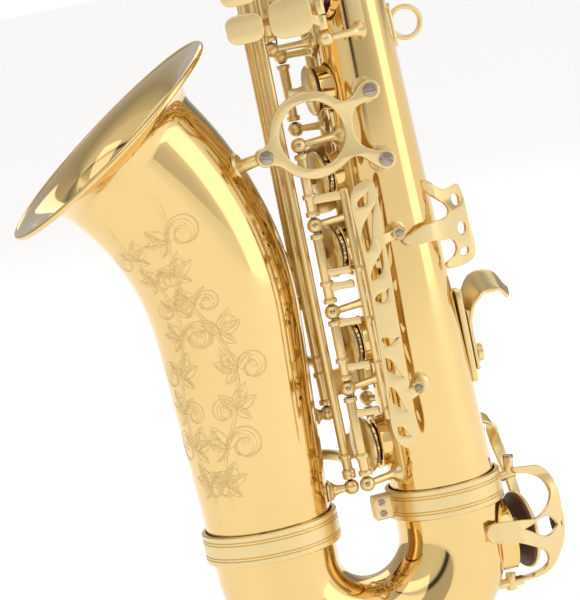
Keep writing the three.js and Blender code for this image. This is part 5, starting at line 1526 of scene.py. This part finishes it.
@dataclass
class Fittings:
    """Strap ring, thumb hook, thumb rest, and the brace between bell and body."""

    tubes: Tubes
    keys: KeyWork
    strap_radius: float = 7.6
    strap_wire: float = 1.3
    hook_height: float = -157.0
    rest_height: float = 46.0
    lever_height: float = 78.0
    brace_y: float = -30.0
    brace_thickness: float = 3.0
    brace_centre: tuple[float, float] = (-36.3, -42.0)
    brace_outer: float = 21.0
    brace_inner: float = 16.0
    eye_radius: float = 4.6
    body_eyes: tuple[tuple[float, float], ...] = ((-4.7, -26.8), (-3.4, -60.8))
    bell_eye: tuple[float, float] = (-60.5, -48.0)

    def build(self) -> None:
        """Makes all of them."""
        self.strap_ring()
        self.thumb_hook()
        self.thumb_rest()
        self.brace()
        self.octave_lever()

    def strap_ring(self) -> None:
        """The strap ring: a torus on a short stem that grows out of a soldered plate."""
        turn = circle(64)
        around = circle(20)
        ring = np.stack([np.cos(turn), 0 * turn, np.sin(turn)], 1)
        centre = vec(-AXIS_X, 0, 0) + self.strap_radius * ring
        points = centre[:, None] + self.strap_wire * (np.cos(around)[None, :, None] * ring[:, None]
                                                      + np.sin(around)[None, :, None] * Y)
        root = self.tubes.radius(0)
        stem = [(4.2, 0), (3.4, 0.6), (2.4, 1.6), (2.1, 2.2), (2.0, 3.0), (0, 3.0)]
        Forge().add(Sheet(points, loop_rows=True), self.keys.rib(180, -11, 11, 8),
                    lathe(stem, vec(root - 2.2, 0, 0), X, 24)).piece(
            "strap_ring_metal", "horn", Finishes.BRASS, "strap_ring")

    def thumb_hook(self) -> None:
        """The thumb hook: a soldered plate, a slider with its curled paddle, and a slotted screw."""
        z = self.hook_height
        x = self.tubes.radius(z) + 1.4
        face = x + 1.8 + GAP + 1
        Forge().add(strap([vec(x, 0, z - 22.2), vec(x, 0, z), vec(x, 0, z + 22.2)], 13, 3.6, Y, 12)).piece(
            "thumb_hook_base", "horn", Finishes.BRASS, "thumb_hook_plate")
        hook = [(face, 0, z + 4), (face + 0.4, 0, z + 9), (face + 3, 0, z + 17), (face + 9, 0, z + 23.4),
                (face + 17, 0, z + 22.6), (face + 22.6, 0, z + 16)]
        slider = strap(route_of([(face, 0, z - 17.3), (face, 0, z - 3), (face, 0, z + 11.5)]), 11, 2, Y, 12)
        Forge().add(slider, strap(route_of(hook), [11, 13, 17, 19, 18, 13], PLATE, vec(0, 0.86, 0.5),
                                  56)).piece("thumb_hook_metal", "horn", Finishes.BRASS, "thumb_hook")
        screw = vec(face + 1 + GAP, 0, z - 10)
        shank = rod(vec(x - 1, 0, z - 10), screw + vec(0.6, 0, 0), 1.6)
        Forge().add(shank, slotted_head(screw, X, 4.5, 2.8,
                                        65)).piece("thumb_hook_screw_metal", "horn", Finishes.BRASS,
                                                   "thumb_hook_screw")

    def thumb_rest(self) -> None:
        """The round thumb rest under the octave lever."""
        z = self.rest_height
        x = self.tubes.radius(z)
        cup = [(0, -1), (5.5, -1), (5.5, 2.2), (6.2, 3.2), (6.2, 4.2), (5.6, 4.6), (5.2, 4.2), (0, 4.2)]
        Forge().add(lathe(cup, vec(x, 0, z), X, 40)).piece("thumb_rest_cup", "horn", Finishes.BRASS)
        Forge().add(lathe([(0, 4), (5.1, 4), (4.8, 5.0), (3.0, 5.6), (0, 5.8)], vec(x, 0, z), X, 36)).piece(
            "thumb_rest_pad", "horn", Finishes.EBONITE)

    def brace(self) -> None:
        """The ring brace with its three eyes, the bell's stud, and three slotted screws.

        The forked arms follow a smooth line through a few places. The rest of the edge is the ring's outer
        radius R, raised near the bell's eye (radius e, at distance d) to d cos a + sqrt(e^2 - (d sin a)^2)
        and joined to it by a fillet R + rise * (1 - t)^4, with t 0 at the eye's flank and 1 at 0.42 radian
        past it.
        """
        cx, cz = self.brace_centre
        fork = [(-24.6, -24.8), (-19.0, -29.0), (-13.6, -27.7), (-9.6, -24.0), (-6.6, -22.2), (-2.4, -22.2),
                (0.2, -24.6), (0.4, -28.2), (-2.2, -31.4), (-6.1, -31.6), (-9.7, -32.4), (-13.2, -33.9),
                (-15.1, -36.8), (-15.9, -41.5), (-15.4, -47.0), (-12.8, -52.2), (-8.6, -54.8), (-5.6, -56.0),
                (-1.6, -56.4), (1.2, -59.0), (1.4, -62.4), (-0.6, -65.2), (-4.0, -65.8), (-7.9, -63.6),
                (-11.8, -60.0), (-15.4, -57.0), (-19.2, -56.6), (-24.4, -59.4)]
        arms = smooth_line([vec(x, 0, z) for x, z in fork], 220)[:, [0, 2]]
        theta = np.radians(np.linspace(-56, -304, 260))
        (x, z), eye, ring = self.bell_eye, self.eye_radius, self.brace_outer
        d, at = math.hypot(x - cx, z - cz), math.atan2(z - cz, x - cx)
        off = np.abs((theta - at + math.pi) % (2 * math.pi) - math.pi)
        flank = math.asin(eye / d)
        near = d * np.cos(off) + np.sqrt(np.maximum(eye**2 - (d * np.sin(off)) ** 2, 0))
        rise = d * math.cos(flank) - ring
        t = np.clip((off - flank) / 0.42, 0, 1)
        r = np.maximum(ring, np.where(off < flank, near, ring + rise * (1 - t) ** 4))
        edge = np.vstack([arms, np.stack([cx + r * np.cos(theta), cz + r * np.sin(theta)], 1)[1:-1]])
        turn = circle(96)
        holes = [np.stack([cx + self.brace_inner * np.cos(turn), cz + self.brace_inner * np.sin(turn)], 1)]
        points, faces = outline_plate(edge, holes, self.brace_thickness, 0.8)
        Forge().raw(np.stack([points[:, 0], self.brace_y + points[:, 2], points[:, 1]], 1), faces).piece(
            "brace_ring", "horn", Finishes.BRASS, "bell_brace")
        for name, (x, z), node in (("brace_screw_top", self.body_eyes[0], "brace_screw_upper"),
                                   ("brace_screw_low", self.body_eyes[1], "brace_screw_lower")):
            Forge().add(slotted_head(vec(x, self.brace_y - self.brace_thickness / 2, z), -Y, 3.5, 1.7,
                                     25 + z)).piece(name, "horn", Finishes.STEEL, node)
        x, z = self.bell_eye
        Forge().add(slotted_head(vec(x, self.brace_y - self.brace_thickness / 2, z), -Y, 3.5, 1.7,
                                 -20)).piece("brace_screw_bell", "horn", Finishes.STEEL)
        head = vec(x, self.brace_y + self.brace_thickness / 2 + GAP, z)
        _, centre, radius = self.tubes.bell_at(-58)
        neck = head + vec(0, 5, 0)
        root = centre + unit(neck - centre) * (radius - 0.5)
        Forge().add(rod(head, neck, 4.2), ball(neck, 4.2), rod(neck, root, 2.8, 3.4),
                    rod(root, root + unit(neck - centre) * 2, 7.5, 6.5, edge=0.6)).piece(
            "brace_stud_metal", "horn", Finishes.BRASS, "bell_brace_stud")
        feet = Forge()
        for x, z in self.body_eyes:
            feet.add(rod(vec(x, self.brace_y + self.brace_thickness / 2 + GAP, z),
                         vec(x, -self.tubes.radius(z) + 1, z), 4.2, 4.6),
                     self.keys.rib(math.degrees(math.atan2(1.0, -x / self.tubes.radius(z))), z - 6.5,
                                   z + 6.5, 12))
        line = hinge_line("key_g_sharp")
        for z in (-37 - self.keys.half, -9 + self.keys.half):
            feet.add(*self.keys.tube_post(line, z))
        feet.piece("body_feet", "horn", Finishes.BRASS)

    def octave_lever(self) -> None:
        """The thumb's octave lever between two ears on a soldered plate."""
        z = self.lever_height
        x = self.tubes.radius(z) + 7.5
        Forge().add(rod(vec(x, -7, z), vec(x, 7, z), 2.2),
                    strap(route_of([(x, 0, z), (x + 1.5, 0, z - 9), (x - 0.5, 0, z - 20)]), [7, 12, 13, 11],
                          2, Y, 32),
                    strap(route_of([(x, 0, z), (x - 1, 0, z + 15), (x - 1.6, 0, z + 30)]), [6, 4.6, 5], 2, Y,
                          32)).piece(
            "octave_lever_metal", "thumb_octave_lever", Finishes.BRASS, "thumb_octave_lever")
        ears = Forge().add(self.keys.rib(180, z - 4.5, z + 4.5, 25))
        for side in (-1, 1):
            y = side * 9.1
            root = self.tubes.radius(z) * 0.93
            ears.add(rod(vec(root, y, z), vec(x, y, z), 2.2, 1.9),
                     rod(vec(x, y - 1.6, z), vec(x, y + 1.6, z), 3.0))
            ears.add(slotted_head(vec(x, y + side * 1.6, z), vec(0, side, 0), 1.7, 0.7))
        ears.piece("octave_lever_ears", "horn", Finishes.BRASS)


@dataclass
class NeckAndMouthpiece:
    """Receiver, neck, cork, octave key, mouthpiece, reed and ligature."""

    tubes: Tubes
    keys: KeyWork
    on_cork: float = 30.0
    seat: float = 8.6

    def __post_init__(self) -> None:
        """Finds the mouthpiece's axis and its upper side from the neck's end."""
        self.spine = self.tubes.neck_spine
        end, tangent = self.spine.at(self.spine.length)
        self.end, self.axis = end[0], tangent[0]
        side = np.cross(Y, self.axis)
        self.up = side * np.sign(side[2])

    def build(self) -> None:
        """Makes all of them."""
        self.receiver()
        self.neck()
        self.octave_key()
        self.mouthpiece()
        self.reed()
        self.ligature()

    def local(self, s: Array, y: Array, z: Array) -> Array:
        """Points from distances past the mouthpiece's shank, sideways, and above its axis.

        Args:
            s: along the axis.
            y: sideways.
            z: above it.
        Returns:
            The points.
        """
        s, y, z = np.broadcast_arrays(s, y, z)
        start = self.end - self.axis * self.on_cork
        return start + s[..., None] * self.axis + y[..., None] * Y + z[..., None] * self.up

    def receiver(self) -> None:
        """The neck receiver with its collar, slotted lug and knurled screw."""
        t = self.tubes
        low, top, inner = t.top - 9, t.receiver_top, t.tenon_radius + GAP
        seat, outer = t.radius(low) + GAP, t.tenon_radius + GAP + 2.4
        profile = [(seat, low), (seat + 1.6, low), (seat + 1.7, low + 3), (outer + 1.4, t.top - 2),
                   (outer, t.top), (outer, top - 3.4), (outer + 0.9, top - 3), (outer + 1.2, top - 2.2),
                   (outer + 1.2, top - 0.6), (outer + 0.7, top), (inner, top), (inner, t.top + GAP),
                   (seat, t.top + GAP), (seat, low)]
        lugs = Forge().add(lathe(profile, vec(0, 0, 0), Z, 72))
        for x in (-3.0, 3.0):
            lugs.add(rod(vec(x - 1.5, outer + 2.6, t.top + 12), vec(x + 1.5, outer + 2.6, t.top + 12), 3.9,
                         edge=0.5))
            lugs.add(strap([vec(x, outer - 1, t.top + 12), vec(x, outer + 1, t.top + 12),
                            vec(x, outer + 3, t.top + 12)], 7.4, 3))
        lugs.piece("receiver_metal", "horn", Finishes.BRASS, "neck_receiver")
        Forge().add(rod(vec(-9, outer + 3.2, t.top + 12), vec(6, outer + 3.2, t.top + 12), 1.6),
                    rod(vec(-12, outer + 3.2, t.top + 12), vec(-6.5, outer + 3.2, t.top + 12), 3.6,
                        edge=0.6)).piece("receiver_screw", "horn", Finishes.BRASS)

    def neck(self) -> None:
        """The neck tube with its collar, ring and tenon wall, its octave pip, and the cork."""
        t = self.tubes
        collar = t.receiver_top + GAP - t.top - 1
        s = np.linspace(collar + 4.6, self.spine.length - 3, 70)
        outer = [(t.tenon_radius, 0), (t.tenon_radius, collar), (t.tenon_radius + 2.2, collar),
                 (t.tenon_radius + 2.6, collar + 0.5),
                 (t.tenon_radius + 2.6, collar + 3.4), (t.tenon_radius + 2.1, collar + 4),
                 *[(t.neck_radius(a), a) for a in s],
                 (t.neck_end_radius + 0.5, self.spine.length - 2.4),
                 (t.neck_end_radius + 0.5, self.spine.length)]
        inner = [(t.neck_end_radius - 1, self.spine.length), *[(t.neck_radius(a) - 1, a) for a in s[::-1]],
                 (t.tenon_radius - 1, 0)]
        tube = Forge().add(bent([*outer, *inner, outer[0]], self.spine, 64))
        pip, top = t.neck_back(0.58, -1), t.neck_back(0.58, 2.9)
        tube.add(lathe([(0, 0), (3.6, 0), (2.6, 2.2), (2.2, 3.9), (1.2, 3.9), (0, 3.2)], pip, top - pip, 28))
        pivot = t.neck_back(0.42, 5.6)
        for side in (-1, 1):
            foot = t.neck_back(0.42, -2) + vec(0, side * 8, 0)
            tube.add(rod(foot, vec(pivot[0], side * 8, pivot[2]), 2.0, 1.7),
                     rod(vec(pivot[0], side * 6.9, pivot[2]), vec(pivot[0], side * 9.2, pivot[2]), 2.7))
        tube.piece("neck_metal", "neck", Finishes.SHEET, "neck_tube")
        start = self.end - self.axis * 45
        root, tip = (t.neck_radius(self.spine.length - d) + GAP for d in (45, 1))
        profile = [(root, 0), (8.4, 0.3), (9, 0.9), (9, 43.4), (8.6, 44), (tip, 44), (root, 0)]
        Forge().add(lathe(profile, start, self.axis,
                          56)).piece("neck_cork_sleeve", "neck", Finishes.CORK, "neck_cork")

    def octave_key(self) -> None:
        """The neck's octave key: a ring round the receiver, an arm over the neck's back and a pad cup."""
        t = self.tubes
        z = t.receiver_top + 12
        ring = lathe([(16.4, -1.4), (16.9, -2), (18.1, -2), (18.6, -1.4), (18.6, 1.4), (18.1, 2), (16.9, 2),
                      (16.4, 1.4), (16.4, -1.4)], vec(0, 0, z), Z, 72)
        arm = strap([vec(-17.5, 0, z),
                     *[t.neck_back(share, 5.6) for share in (0.27, 0.35, 0.42, 0.5, 0.58)]],
                    [7, 5, 5, 5, 5, 6], 2, Y, 64)
        pivot, pad = t.neck_back(0.42, 5.6), t.neck_back(0.58, 3.2)
        axis = unit(t.neck_back(0.58, 7) - pad)
        cup = lathe([(0, 2.6), (2.8, 2.6), (4, 2.1), (4.2, 1.4), (4.2, 0.6), (0, 0.6)], pad, axis, 32)
        Forge().add(ring, arm, cup, rod(vec(pivot[0], -6, pivot[2]), vec(pivot[0], 6, pivot[2]), 2.2)).piece(
            "neck_octave_metal", "neck_octave_key", Finishes.BRASS, "neck_octave_key")
        Forge().add(lathe([(0, 0.05), (3.6, 0.05), (3.9, 0.4), (3.9, 0.9), (0, 0.9)], pad, axis, 28)).piece(
            "neck_octave_pad", "neck_octave_key", Finishes.CORK)

    def mouthpiece(self) -> None:
        """The mouthpiece: round shank, flat table and sloping beak, hollow over the cork.

        Each section is an oval between top(s) and bottom(s): y = half width * cos a and
        z = middle + half height * sin a.
        """
        s = np.array([0, 0.6, 1.6, 2.6, 4.2, 5, 12, 20, 28, 30.6, 31.4, 34, 38, 42, 45.8, 50, 56, 62, 68, 74,
                      80, 85, 87.3, 88])
        body = np.interp(s, [0, 0.6, 1.6, 2.6, 4.2, 5, 39.6, 66, 88],
                         [11.9, 12.6, 13.1, 13.1, 12.6, 12.5, 12.5, 11.4, 8.2])
        beak = 12.25 - math.tan(math.radians(21.5)) * (s - 45.76)
        top = np.minimum(body, beak)
        bottom = -np.where(s < 31, body, np.minimum(body, self.seat - 0.0022 * np.clip(s - 62, 0, None) ** 2))
        turn = circle(56)
        c, si = np.cos(turn), np.sin(turn)
        flat = np.where((si < 0) & (s[:, None] > 31), 0.45, 1.0)
        z = (top + bottom)[:, None] / 2 + (top - bottom)[:, None] / 2 * np.sign(si) * np.abs(si) ** flat
        width = np.where(s > 31, np.interp(s, [31, 66, 88], [12.3, 10.4, 7.9]), body)
        outside = self.local(s[:, None], width[:, None] * c, z)
        bore = 9.35
        inner = self.local(np.array([30.5, 30.5, 0.6, 0.0])[:, None],
                           np.array([0, bore, bore, bore + 0.5])[:, None] * c,
                           np.array([0, bore, bore, bore + 0.5])[:, None] * si)
        tip = self.local(np.full(56, 88.3)[None], np.zeros((1, 56)), np.full((1, 56), float(z[-1].mean())))
        Forge().add(Sheet(np.concatenate([inner, outside, tip]))).piece(
            "mouthpiece_shell", "mouthpiece", Finishes.EBONITE, "mouthpiece")

    def reed(self) -> None:
        """The reed: a flat back on the table, a rounded bark at its heel and a cut that thins to the tip."""
        s = np.array([32, 32.2, 33, 40, 50, 56, 58, 60, 66, 72, 78, 84, 87.2, 87.5])
        thick = np.array([0.1, 2.0, 2.4, 2.4, 2.4, 2.4, 2.15, 1.95, 1.5, 1.15, 0.8, 0.45, 0.3, 0.1])
        half = np.array([6.4, 6.6, 6.7, 6.8, 7.0, 7.15, 7.2, 7.25, 7.35, 7.4, 7.45, 7.5, 7.0, 6.0])
        y = np.concatenate([np.linspace(-1, 1, 15), [1, -1]])
        bark = np.concatenate([np.sqrt(np.clip(1 - 0.75 * np.linspace(-1, 1, 15) ** 2, 0, 1)), [0, 0]])
        points = self.local(s[:, None], half[:, None] * y, -self.seat - GAP - thick[:, None] * bark)
        ends = [np.repeat(points[i].mean(0)[None, None], points.shape[1], 1) for i in (0, -1)]
        Forge().add(Sheet(np.concatenate([ends[0], points, ends[1]]))).piece(
            "reed_blade", "mouthpiece", Finishes.CANE, "reed")

    def ligature(self) -> None:
        """The ligature: a beaded sleeve with a double lug and two knurled screws under the reed."""
        r, first, span = 13.6, 35.0, 20.0
        profile = [(r, 0), (r + 1.2, 0.2), (r + 1.2, 1.6), (r + 0.9, 2), (r + 0.9, 9), (r + 1.2, 9.4),
                   (r + 1.2, 10.6), (r + 0.9, 11), (r + 0.9, span - 2), (r + 1.2, span - 1.6),
                   (r + 1.2, span - 0.2), (r, span), (r, 0)]
        centre = self.local(np.array(first), np.array(0.0), np.array(-0.75))
        sleeve = Forge().add(lathe(profile, centre, self.axis, 72))
        for share in (0.25, 0.75):
            s = first + share * span
            a, b = (self.local(np.array(s), np.array(y), np.array(-r - 2.6)) for y in (-10.8, 10.8))
            knob = self.local(np.array(s), np.array(6.5), np.array(-r - 2.6))
            sleeve.add(rod(a, b, 1.3), rod(knob, b, 2.9, edge=0.5))
            for side in (-3.4, 1.2):
                low, high = (self.local(np.array(s), np.array(y), np.array(-r - 2.6))
                             for y in (side, side + 2.4))
                sleeve.add(rod(low, high, 2.4, edge=0.4))
        sleeve.piece("ligature_metal", "mouthpiece", Finishes.BRASS, "ligature")


@dataclass
class Engraving:
    """Floral engraving on the bell's left side, as low bright ridges that hug the surface."""

    tubes: Tubes
    width: float = 0.55
    lift: float = 0.09

    def ridge(self, s: Array, a: Array, width: float) -> Sheet:
        """A thin ridge along a line given by distance along the bell and arc length round it.

        Args:
            s: distances along the bell.
            a: arc lengths round it from the player's left, towards the front.
            width: of the ridge at its middle; it tapers to points.
        Returns:
            The closed ridge.
        """
        along = np.stack([np.gradient(s), np.gradient(a)], 1)
        square = unit(np.stack([-along[:, 1], along[:, 0]], 1))
        taper = width / 2 * np.sin(np.linspace(0.08, math.pi - 0.08, len(s))) ** 0.6
        lines = [self.surface(s + square[:, 0] * taper * k, a + square[:, 1] * taper * k, lift)
                 for k, lift in ((-1, 0.01), (0, self.lift), (1, 0.01), (0, -0.1))]
        return Sheet(np.stack(lines, 1))

    def surface(self, s: Array, a: Array, lift: float) -> Array:
        """Points over the bell's outer surface.

        Args:
            s: distances along the bell.
            a: arc lengths round it.
            lift: above the surface.
        Returns:
            The points.
        """
        centre, tangent = self.tubes.bell_spine.at(s)
        front = np.cross(tangent, Y)
        r = self.tubes.bell_radius_at(s)
        angle = a / r
        return centre + (r + lift)[:, None] * (np.sin(angle)[:, None] * front - np.cos(angle)[:, None] * Y)

    def spiral(self, s: float, a: float, size: float, heading: float, hand: int,
               turns: float = 1.6) -> tuple[Array, Array]:
        """A scroll that winds in: radius = size * (1 - t)^0.8, angle = heading + hand * turns * 2 pi * t.

        Args:
            s: where it starts along the bell.
            a: where it starts round it.
            size: its first radius.
            heading: of its first point from its middle.
            hand: 1 or -1, the way it winds.
            turns: how often.
        Returns:
            Its line along and round the bell.
        """
        t = np.linspace(0, 1, 56) ** 0.9
        radius = size * (1 - t * 0.93) ** 0.8
        angle = heading + hand * turns * 2 * math.pi * t
        cs, ca = s - size * math.cos(heading), a - size * math.sin(heading)
        return cs + radius * np.cos(angle), ca + radius * np.sin(angle)

    def leaf(self, s: float, a: float, length: float, heading: float) -> list[tuple[Array, Array, float]]:
        """A leaf: two bowed edges, a middle vein and short hatch strokes across one half.

        Args:
            s: its foot along the bell.
            a: its foot round it.
            length: of the leaf.
            heading: from the bell's own direction.
        Returns:
            Lines along and round the bell, and their widths.
        """
        t = np.linspace(0, 1, 18)
        u, v = math.cos(heading), math.sin(heading)
        lines = []
        for bow in (-0.24, 0.0, 0.24):
            off = bow * length * np.sin(math.pi * t**0.8)
            lines.append((s + length * t * u - off * v, a + length * t * v + off * u, 0.5 if bow else 0.3))
        for share in np.linspace(0.12, 0.8, 10):
            reach = 0.2 * length * math.sin(math.pi * share**0.8)
            stroke = np.linspace(0, 1, 5)
            x, y = share + stroke * 0.12, stroke * reach / length
            lines.append((s + length * (x * u - y * v), a + length * (x * v + y * u), 0.3))
        return lines

    def build(self) -> None:
        """Makes the whole ornament: two vines, each with scrolls and leaves on both sides."""
        work = Forge()
        for base, sway, hand in ((14.0, 8.0, 1), (34.0, 5.0, -1)):
            s = np.linspace(22, 188, 200)
            a = base + sway * np.sin((s - 22) / 17.0 + hand)
            work.add(self.ridge(s, a, 1.1), self.ridge(s, a + 1.5, 0.5))
            for i, at in enumerate(np.arange(30, 176, 18.5)):
                side = hand if i % 2 else -hand
                y = base + sway * math.sin((at - 22) / 17.0 + hand)
                size = 8.6 + 1.8 * math.sin(i * 2.1)
                for inner, width in ((0.0, 1.1), (1.3, 0.5), (2.4, 0.4)):
                    work.add(self.ridge(*self.spiral(at, y, size - inner, side * 1.9, -side), width))
                work.add(self.ridge(*self.spiral(at + 9, y, size * 0.5, -side * 1.2, side, 1.2), 0.7))
                for heading, length in ((side * 0.5, 14.0), (side * 1.15, 12.0), (-side * 0.75, 11.0),
                                        (side * 2.3, 9.0)):
                    for line_s, line_a, width in self.leaf(at + 2.5, y, length, heading):
                        work.add(self.ridge(line_s, line_a, width * 1.2))
        work.piece("bell_engraving", "horn", Finishes.ENGRAVED)


@dataclass
class Studio:
    """A white studio: soft boxes, a pale floor, surroundings for the reflections, and the camera."""

    aim: Array = field(default_factory=lambda: vec(-0.0838, 0.0, -0.1206))
    towards: Array = field(default_factory=lambda: vec(-0.18926, -0.97367, 0.12706))
    distance: float = 1.4
    roll: float = -11.6
    lens: float = 172.2
    floor_radius: float = 30.0
    floor_glow: float = 0.42
    boxes: tuple[tuple, ...] = (("key", (-0.5, -1.6, 1.7), (2.4, 1.8), 9.5),
                                ("right", (1.9, -1.0, 0.6), (1.2, 2.0), 5),
                                ("rim", (0.5, 1.6, 1.2), (2.0, 1.0), 6))
    bands: tuple[tuple[float, float], ...] = (
        (0.0, 0.74), (0.12, 0.80), (0.162, 0.72), (0.174, 0.05), (0.188, 0.05), (0.2, 0.5), (0.3, 0.56),
        (0.36, 0.7), (0.41, 1.1), (0.48, 1.0), (0.53, 0.5), (0.64, 0.22), (0.7, 0.55), (0.86, 0.36),
        (1.0, 0.66))

    def build(self, floor_height: float) -> None:
        """Makes the world, lights, floor and camera.

        Args:
            floor_height: just under the instrument.
        """
        self.world()
        for name, at, size, power in self.boxes:
            self.light(name, vec(*at), size, power)
        self.floor(floor_height)
        self.camera()
        bpy.context.scene.view_settings.view_transform = "Standard"

    def world(self) -> None:
        """Surroundings: white to the camera, and soft bright and dark bands round the horizon to reflections.

        A band's place runs from 0 to 1 once round the horizon, starting at -X.
        """
        world = bpy.data.worlds.new("studio")
        bpy.context.scene.world = world
        world.use_nodes = True
        n, link = world.node_tree.nodes, world.node_tree.links.new
        out, shown = n["World Output"], n["Background"]
        shown.inputs["Color"].default_value = (1, 1, 1, 1)
        around = n.new("ShaderNodeBackground")
        place, split = n.new("ShaderNodeTexCoord"), n.new("ShaderNodeSeparateXYZ")
        angle, bands, paths, mix = (n.new(kind) for kind in ("ShaderNodeMath", "ShaderNodeValToRGB",
                                                             "ShaderNodeLightPath", "ShaderNodeMixShader"))
        angle.operation = "ARCTAN2"
        scale = n.new("ShaderNodeMapRange")
        scale.inputs["From Min"].default_value, scale.inputs["From Max"].default_value = -math.pi, math.pi
        link(place.outputs["Generated"], split.inputs[0])
        link(split.outputs["Y"], angle.inputs[0])
        link(split.outputs["X"], angle.inputs[1])
        link(angle.outputs[0], scale.inputs["Value"])
        link(scale.outputs["Result"], bands.inputs["Fac"])
        ramp = bands.color_ramp
        while len(ramp.elements) < len(self.bands):
            ramp.elements.new(0.5)
        for element, (position, level) in zip(ramp.elements, self.bands):
            element.position, element.color = position, (level, level * 0.985, level * 0.96, 1)
        link(bands.outputs["Color"], around.inputs["Color"])
        link(paths.outputs["Is Camera Ray"], mix.inputs["Fac"])
        link(around.outputs[0], mix.inputs[1])
        link(shown.outputs[0], mix.inputs[2])
        link(mix.outputs[0], out.inputs["Surface"])

    def light(self, name: str, at: Array, size: tuple[float, float], power: float) -> None:
        """A soft box that faces the instrument.

        Args:
            name: of the light.
            at: its middle.
            size: width and height, in metres.
            power: in watts.
        """
        data = bpy.data.lights.new(name, "AREA")
        data.shape, data.size, data.size_y, data.energy = "RECTANGLE", size[0], size[1], power
        lamp = bpy.data.objects.new(name, data)
        lamp.location = at
        lamp.rotation_euler = Vector(self.aim - at).to_track_quat("-Z", "Y").to_euler()
        bpy.context.scene.collection.objects.link(lamp)

    def floor(self, height: float) -> None:
        """A plain pale round floor just under the instrument.

        Args:
            height: of the floor.
        """
        turn = circle(96)
        rim = self.floor_radius * np.stack([np.cos(turn), np.sin(turn)], 1)
        points = np.column_stack([rim, np.full(len(turn), height)])
        mesh = bpy.data.meshes.new("floor")
        mesh.from_pydata(points.tolist(), [], [tuple(range(len(turn)))])
        floor = bpy.data.objects.new("floor", mesh)
        material = bpy.data.materials.new("pale_floor")
        material.use_nodes = True
        shader = material.node_tree.nodes["Principled BSDF"]
        shader.inputs["Base Color"].default_value = (0.9, 0.9, 0.9, 1)
        shader.inputs["Roughness"].default_value = 0.7
        shader.inputs["Emission Color"].default_value = (1, 1, 1, 1)
        shader.inputs["Emission Strength"].default_value = self.floor_glow
        mesh.materials.append(material)
        bpy.context.scene.collection.objects.link(floor)
        floor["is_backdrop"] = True

    def camera(self) -> None:
        """The camera, rolled so that the instrument leans as it does in use."""
        c = unit(self.towards)
        right = unit(np.cross(Z, c))
        up = np.cross(c, right)
        a = math.radians(self.roll)
        r, u = right * math.cos(a) + up * math.sin(a), up * math.cos(a) - right * math.sin(a)
        place = self.aim + c * self.distance
        matrix = Matrix([[r[i], u[i], c[i], place[i]] for i in range(3)] + [[0, 0, 0, 1]])
        data = bpy.data.cameras.new("view")
        data.lens, data.sensor_width, data.clip_end = self.lens, 36, 2 * self.floor_radius
        camera = bpy.data.objects.new("view", data)
        camera.matrix_world = matrix
        bpy.context.scene.collection.objects.link(camera)
        bpy.context.scene.camera = camera


def main() -> None:
    """Builds the instrument, then the studio."""
    logging.basicConfig(level=logging.INFO, format="%(message)s")
    tubes = Tubes()
    keys = KeyWork(tubes)
    tubes.build()
    for part in (Stacks(tubes, keys), LowKeys(tubes, keys), SideKeys(tubes, keys), Guards(tubes, keys),
                 Fittings(tubes, keys), NeckAndMouthpiece(tubes, keys), Engraving(tubes)):
        part.build()
    low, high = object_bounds()
    Studio().build(low[2] - 0.002)
    LOG.info("object from %s to %s", list(low), list(high))


if __name__ == "__main__":
    main()
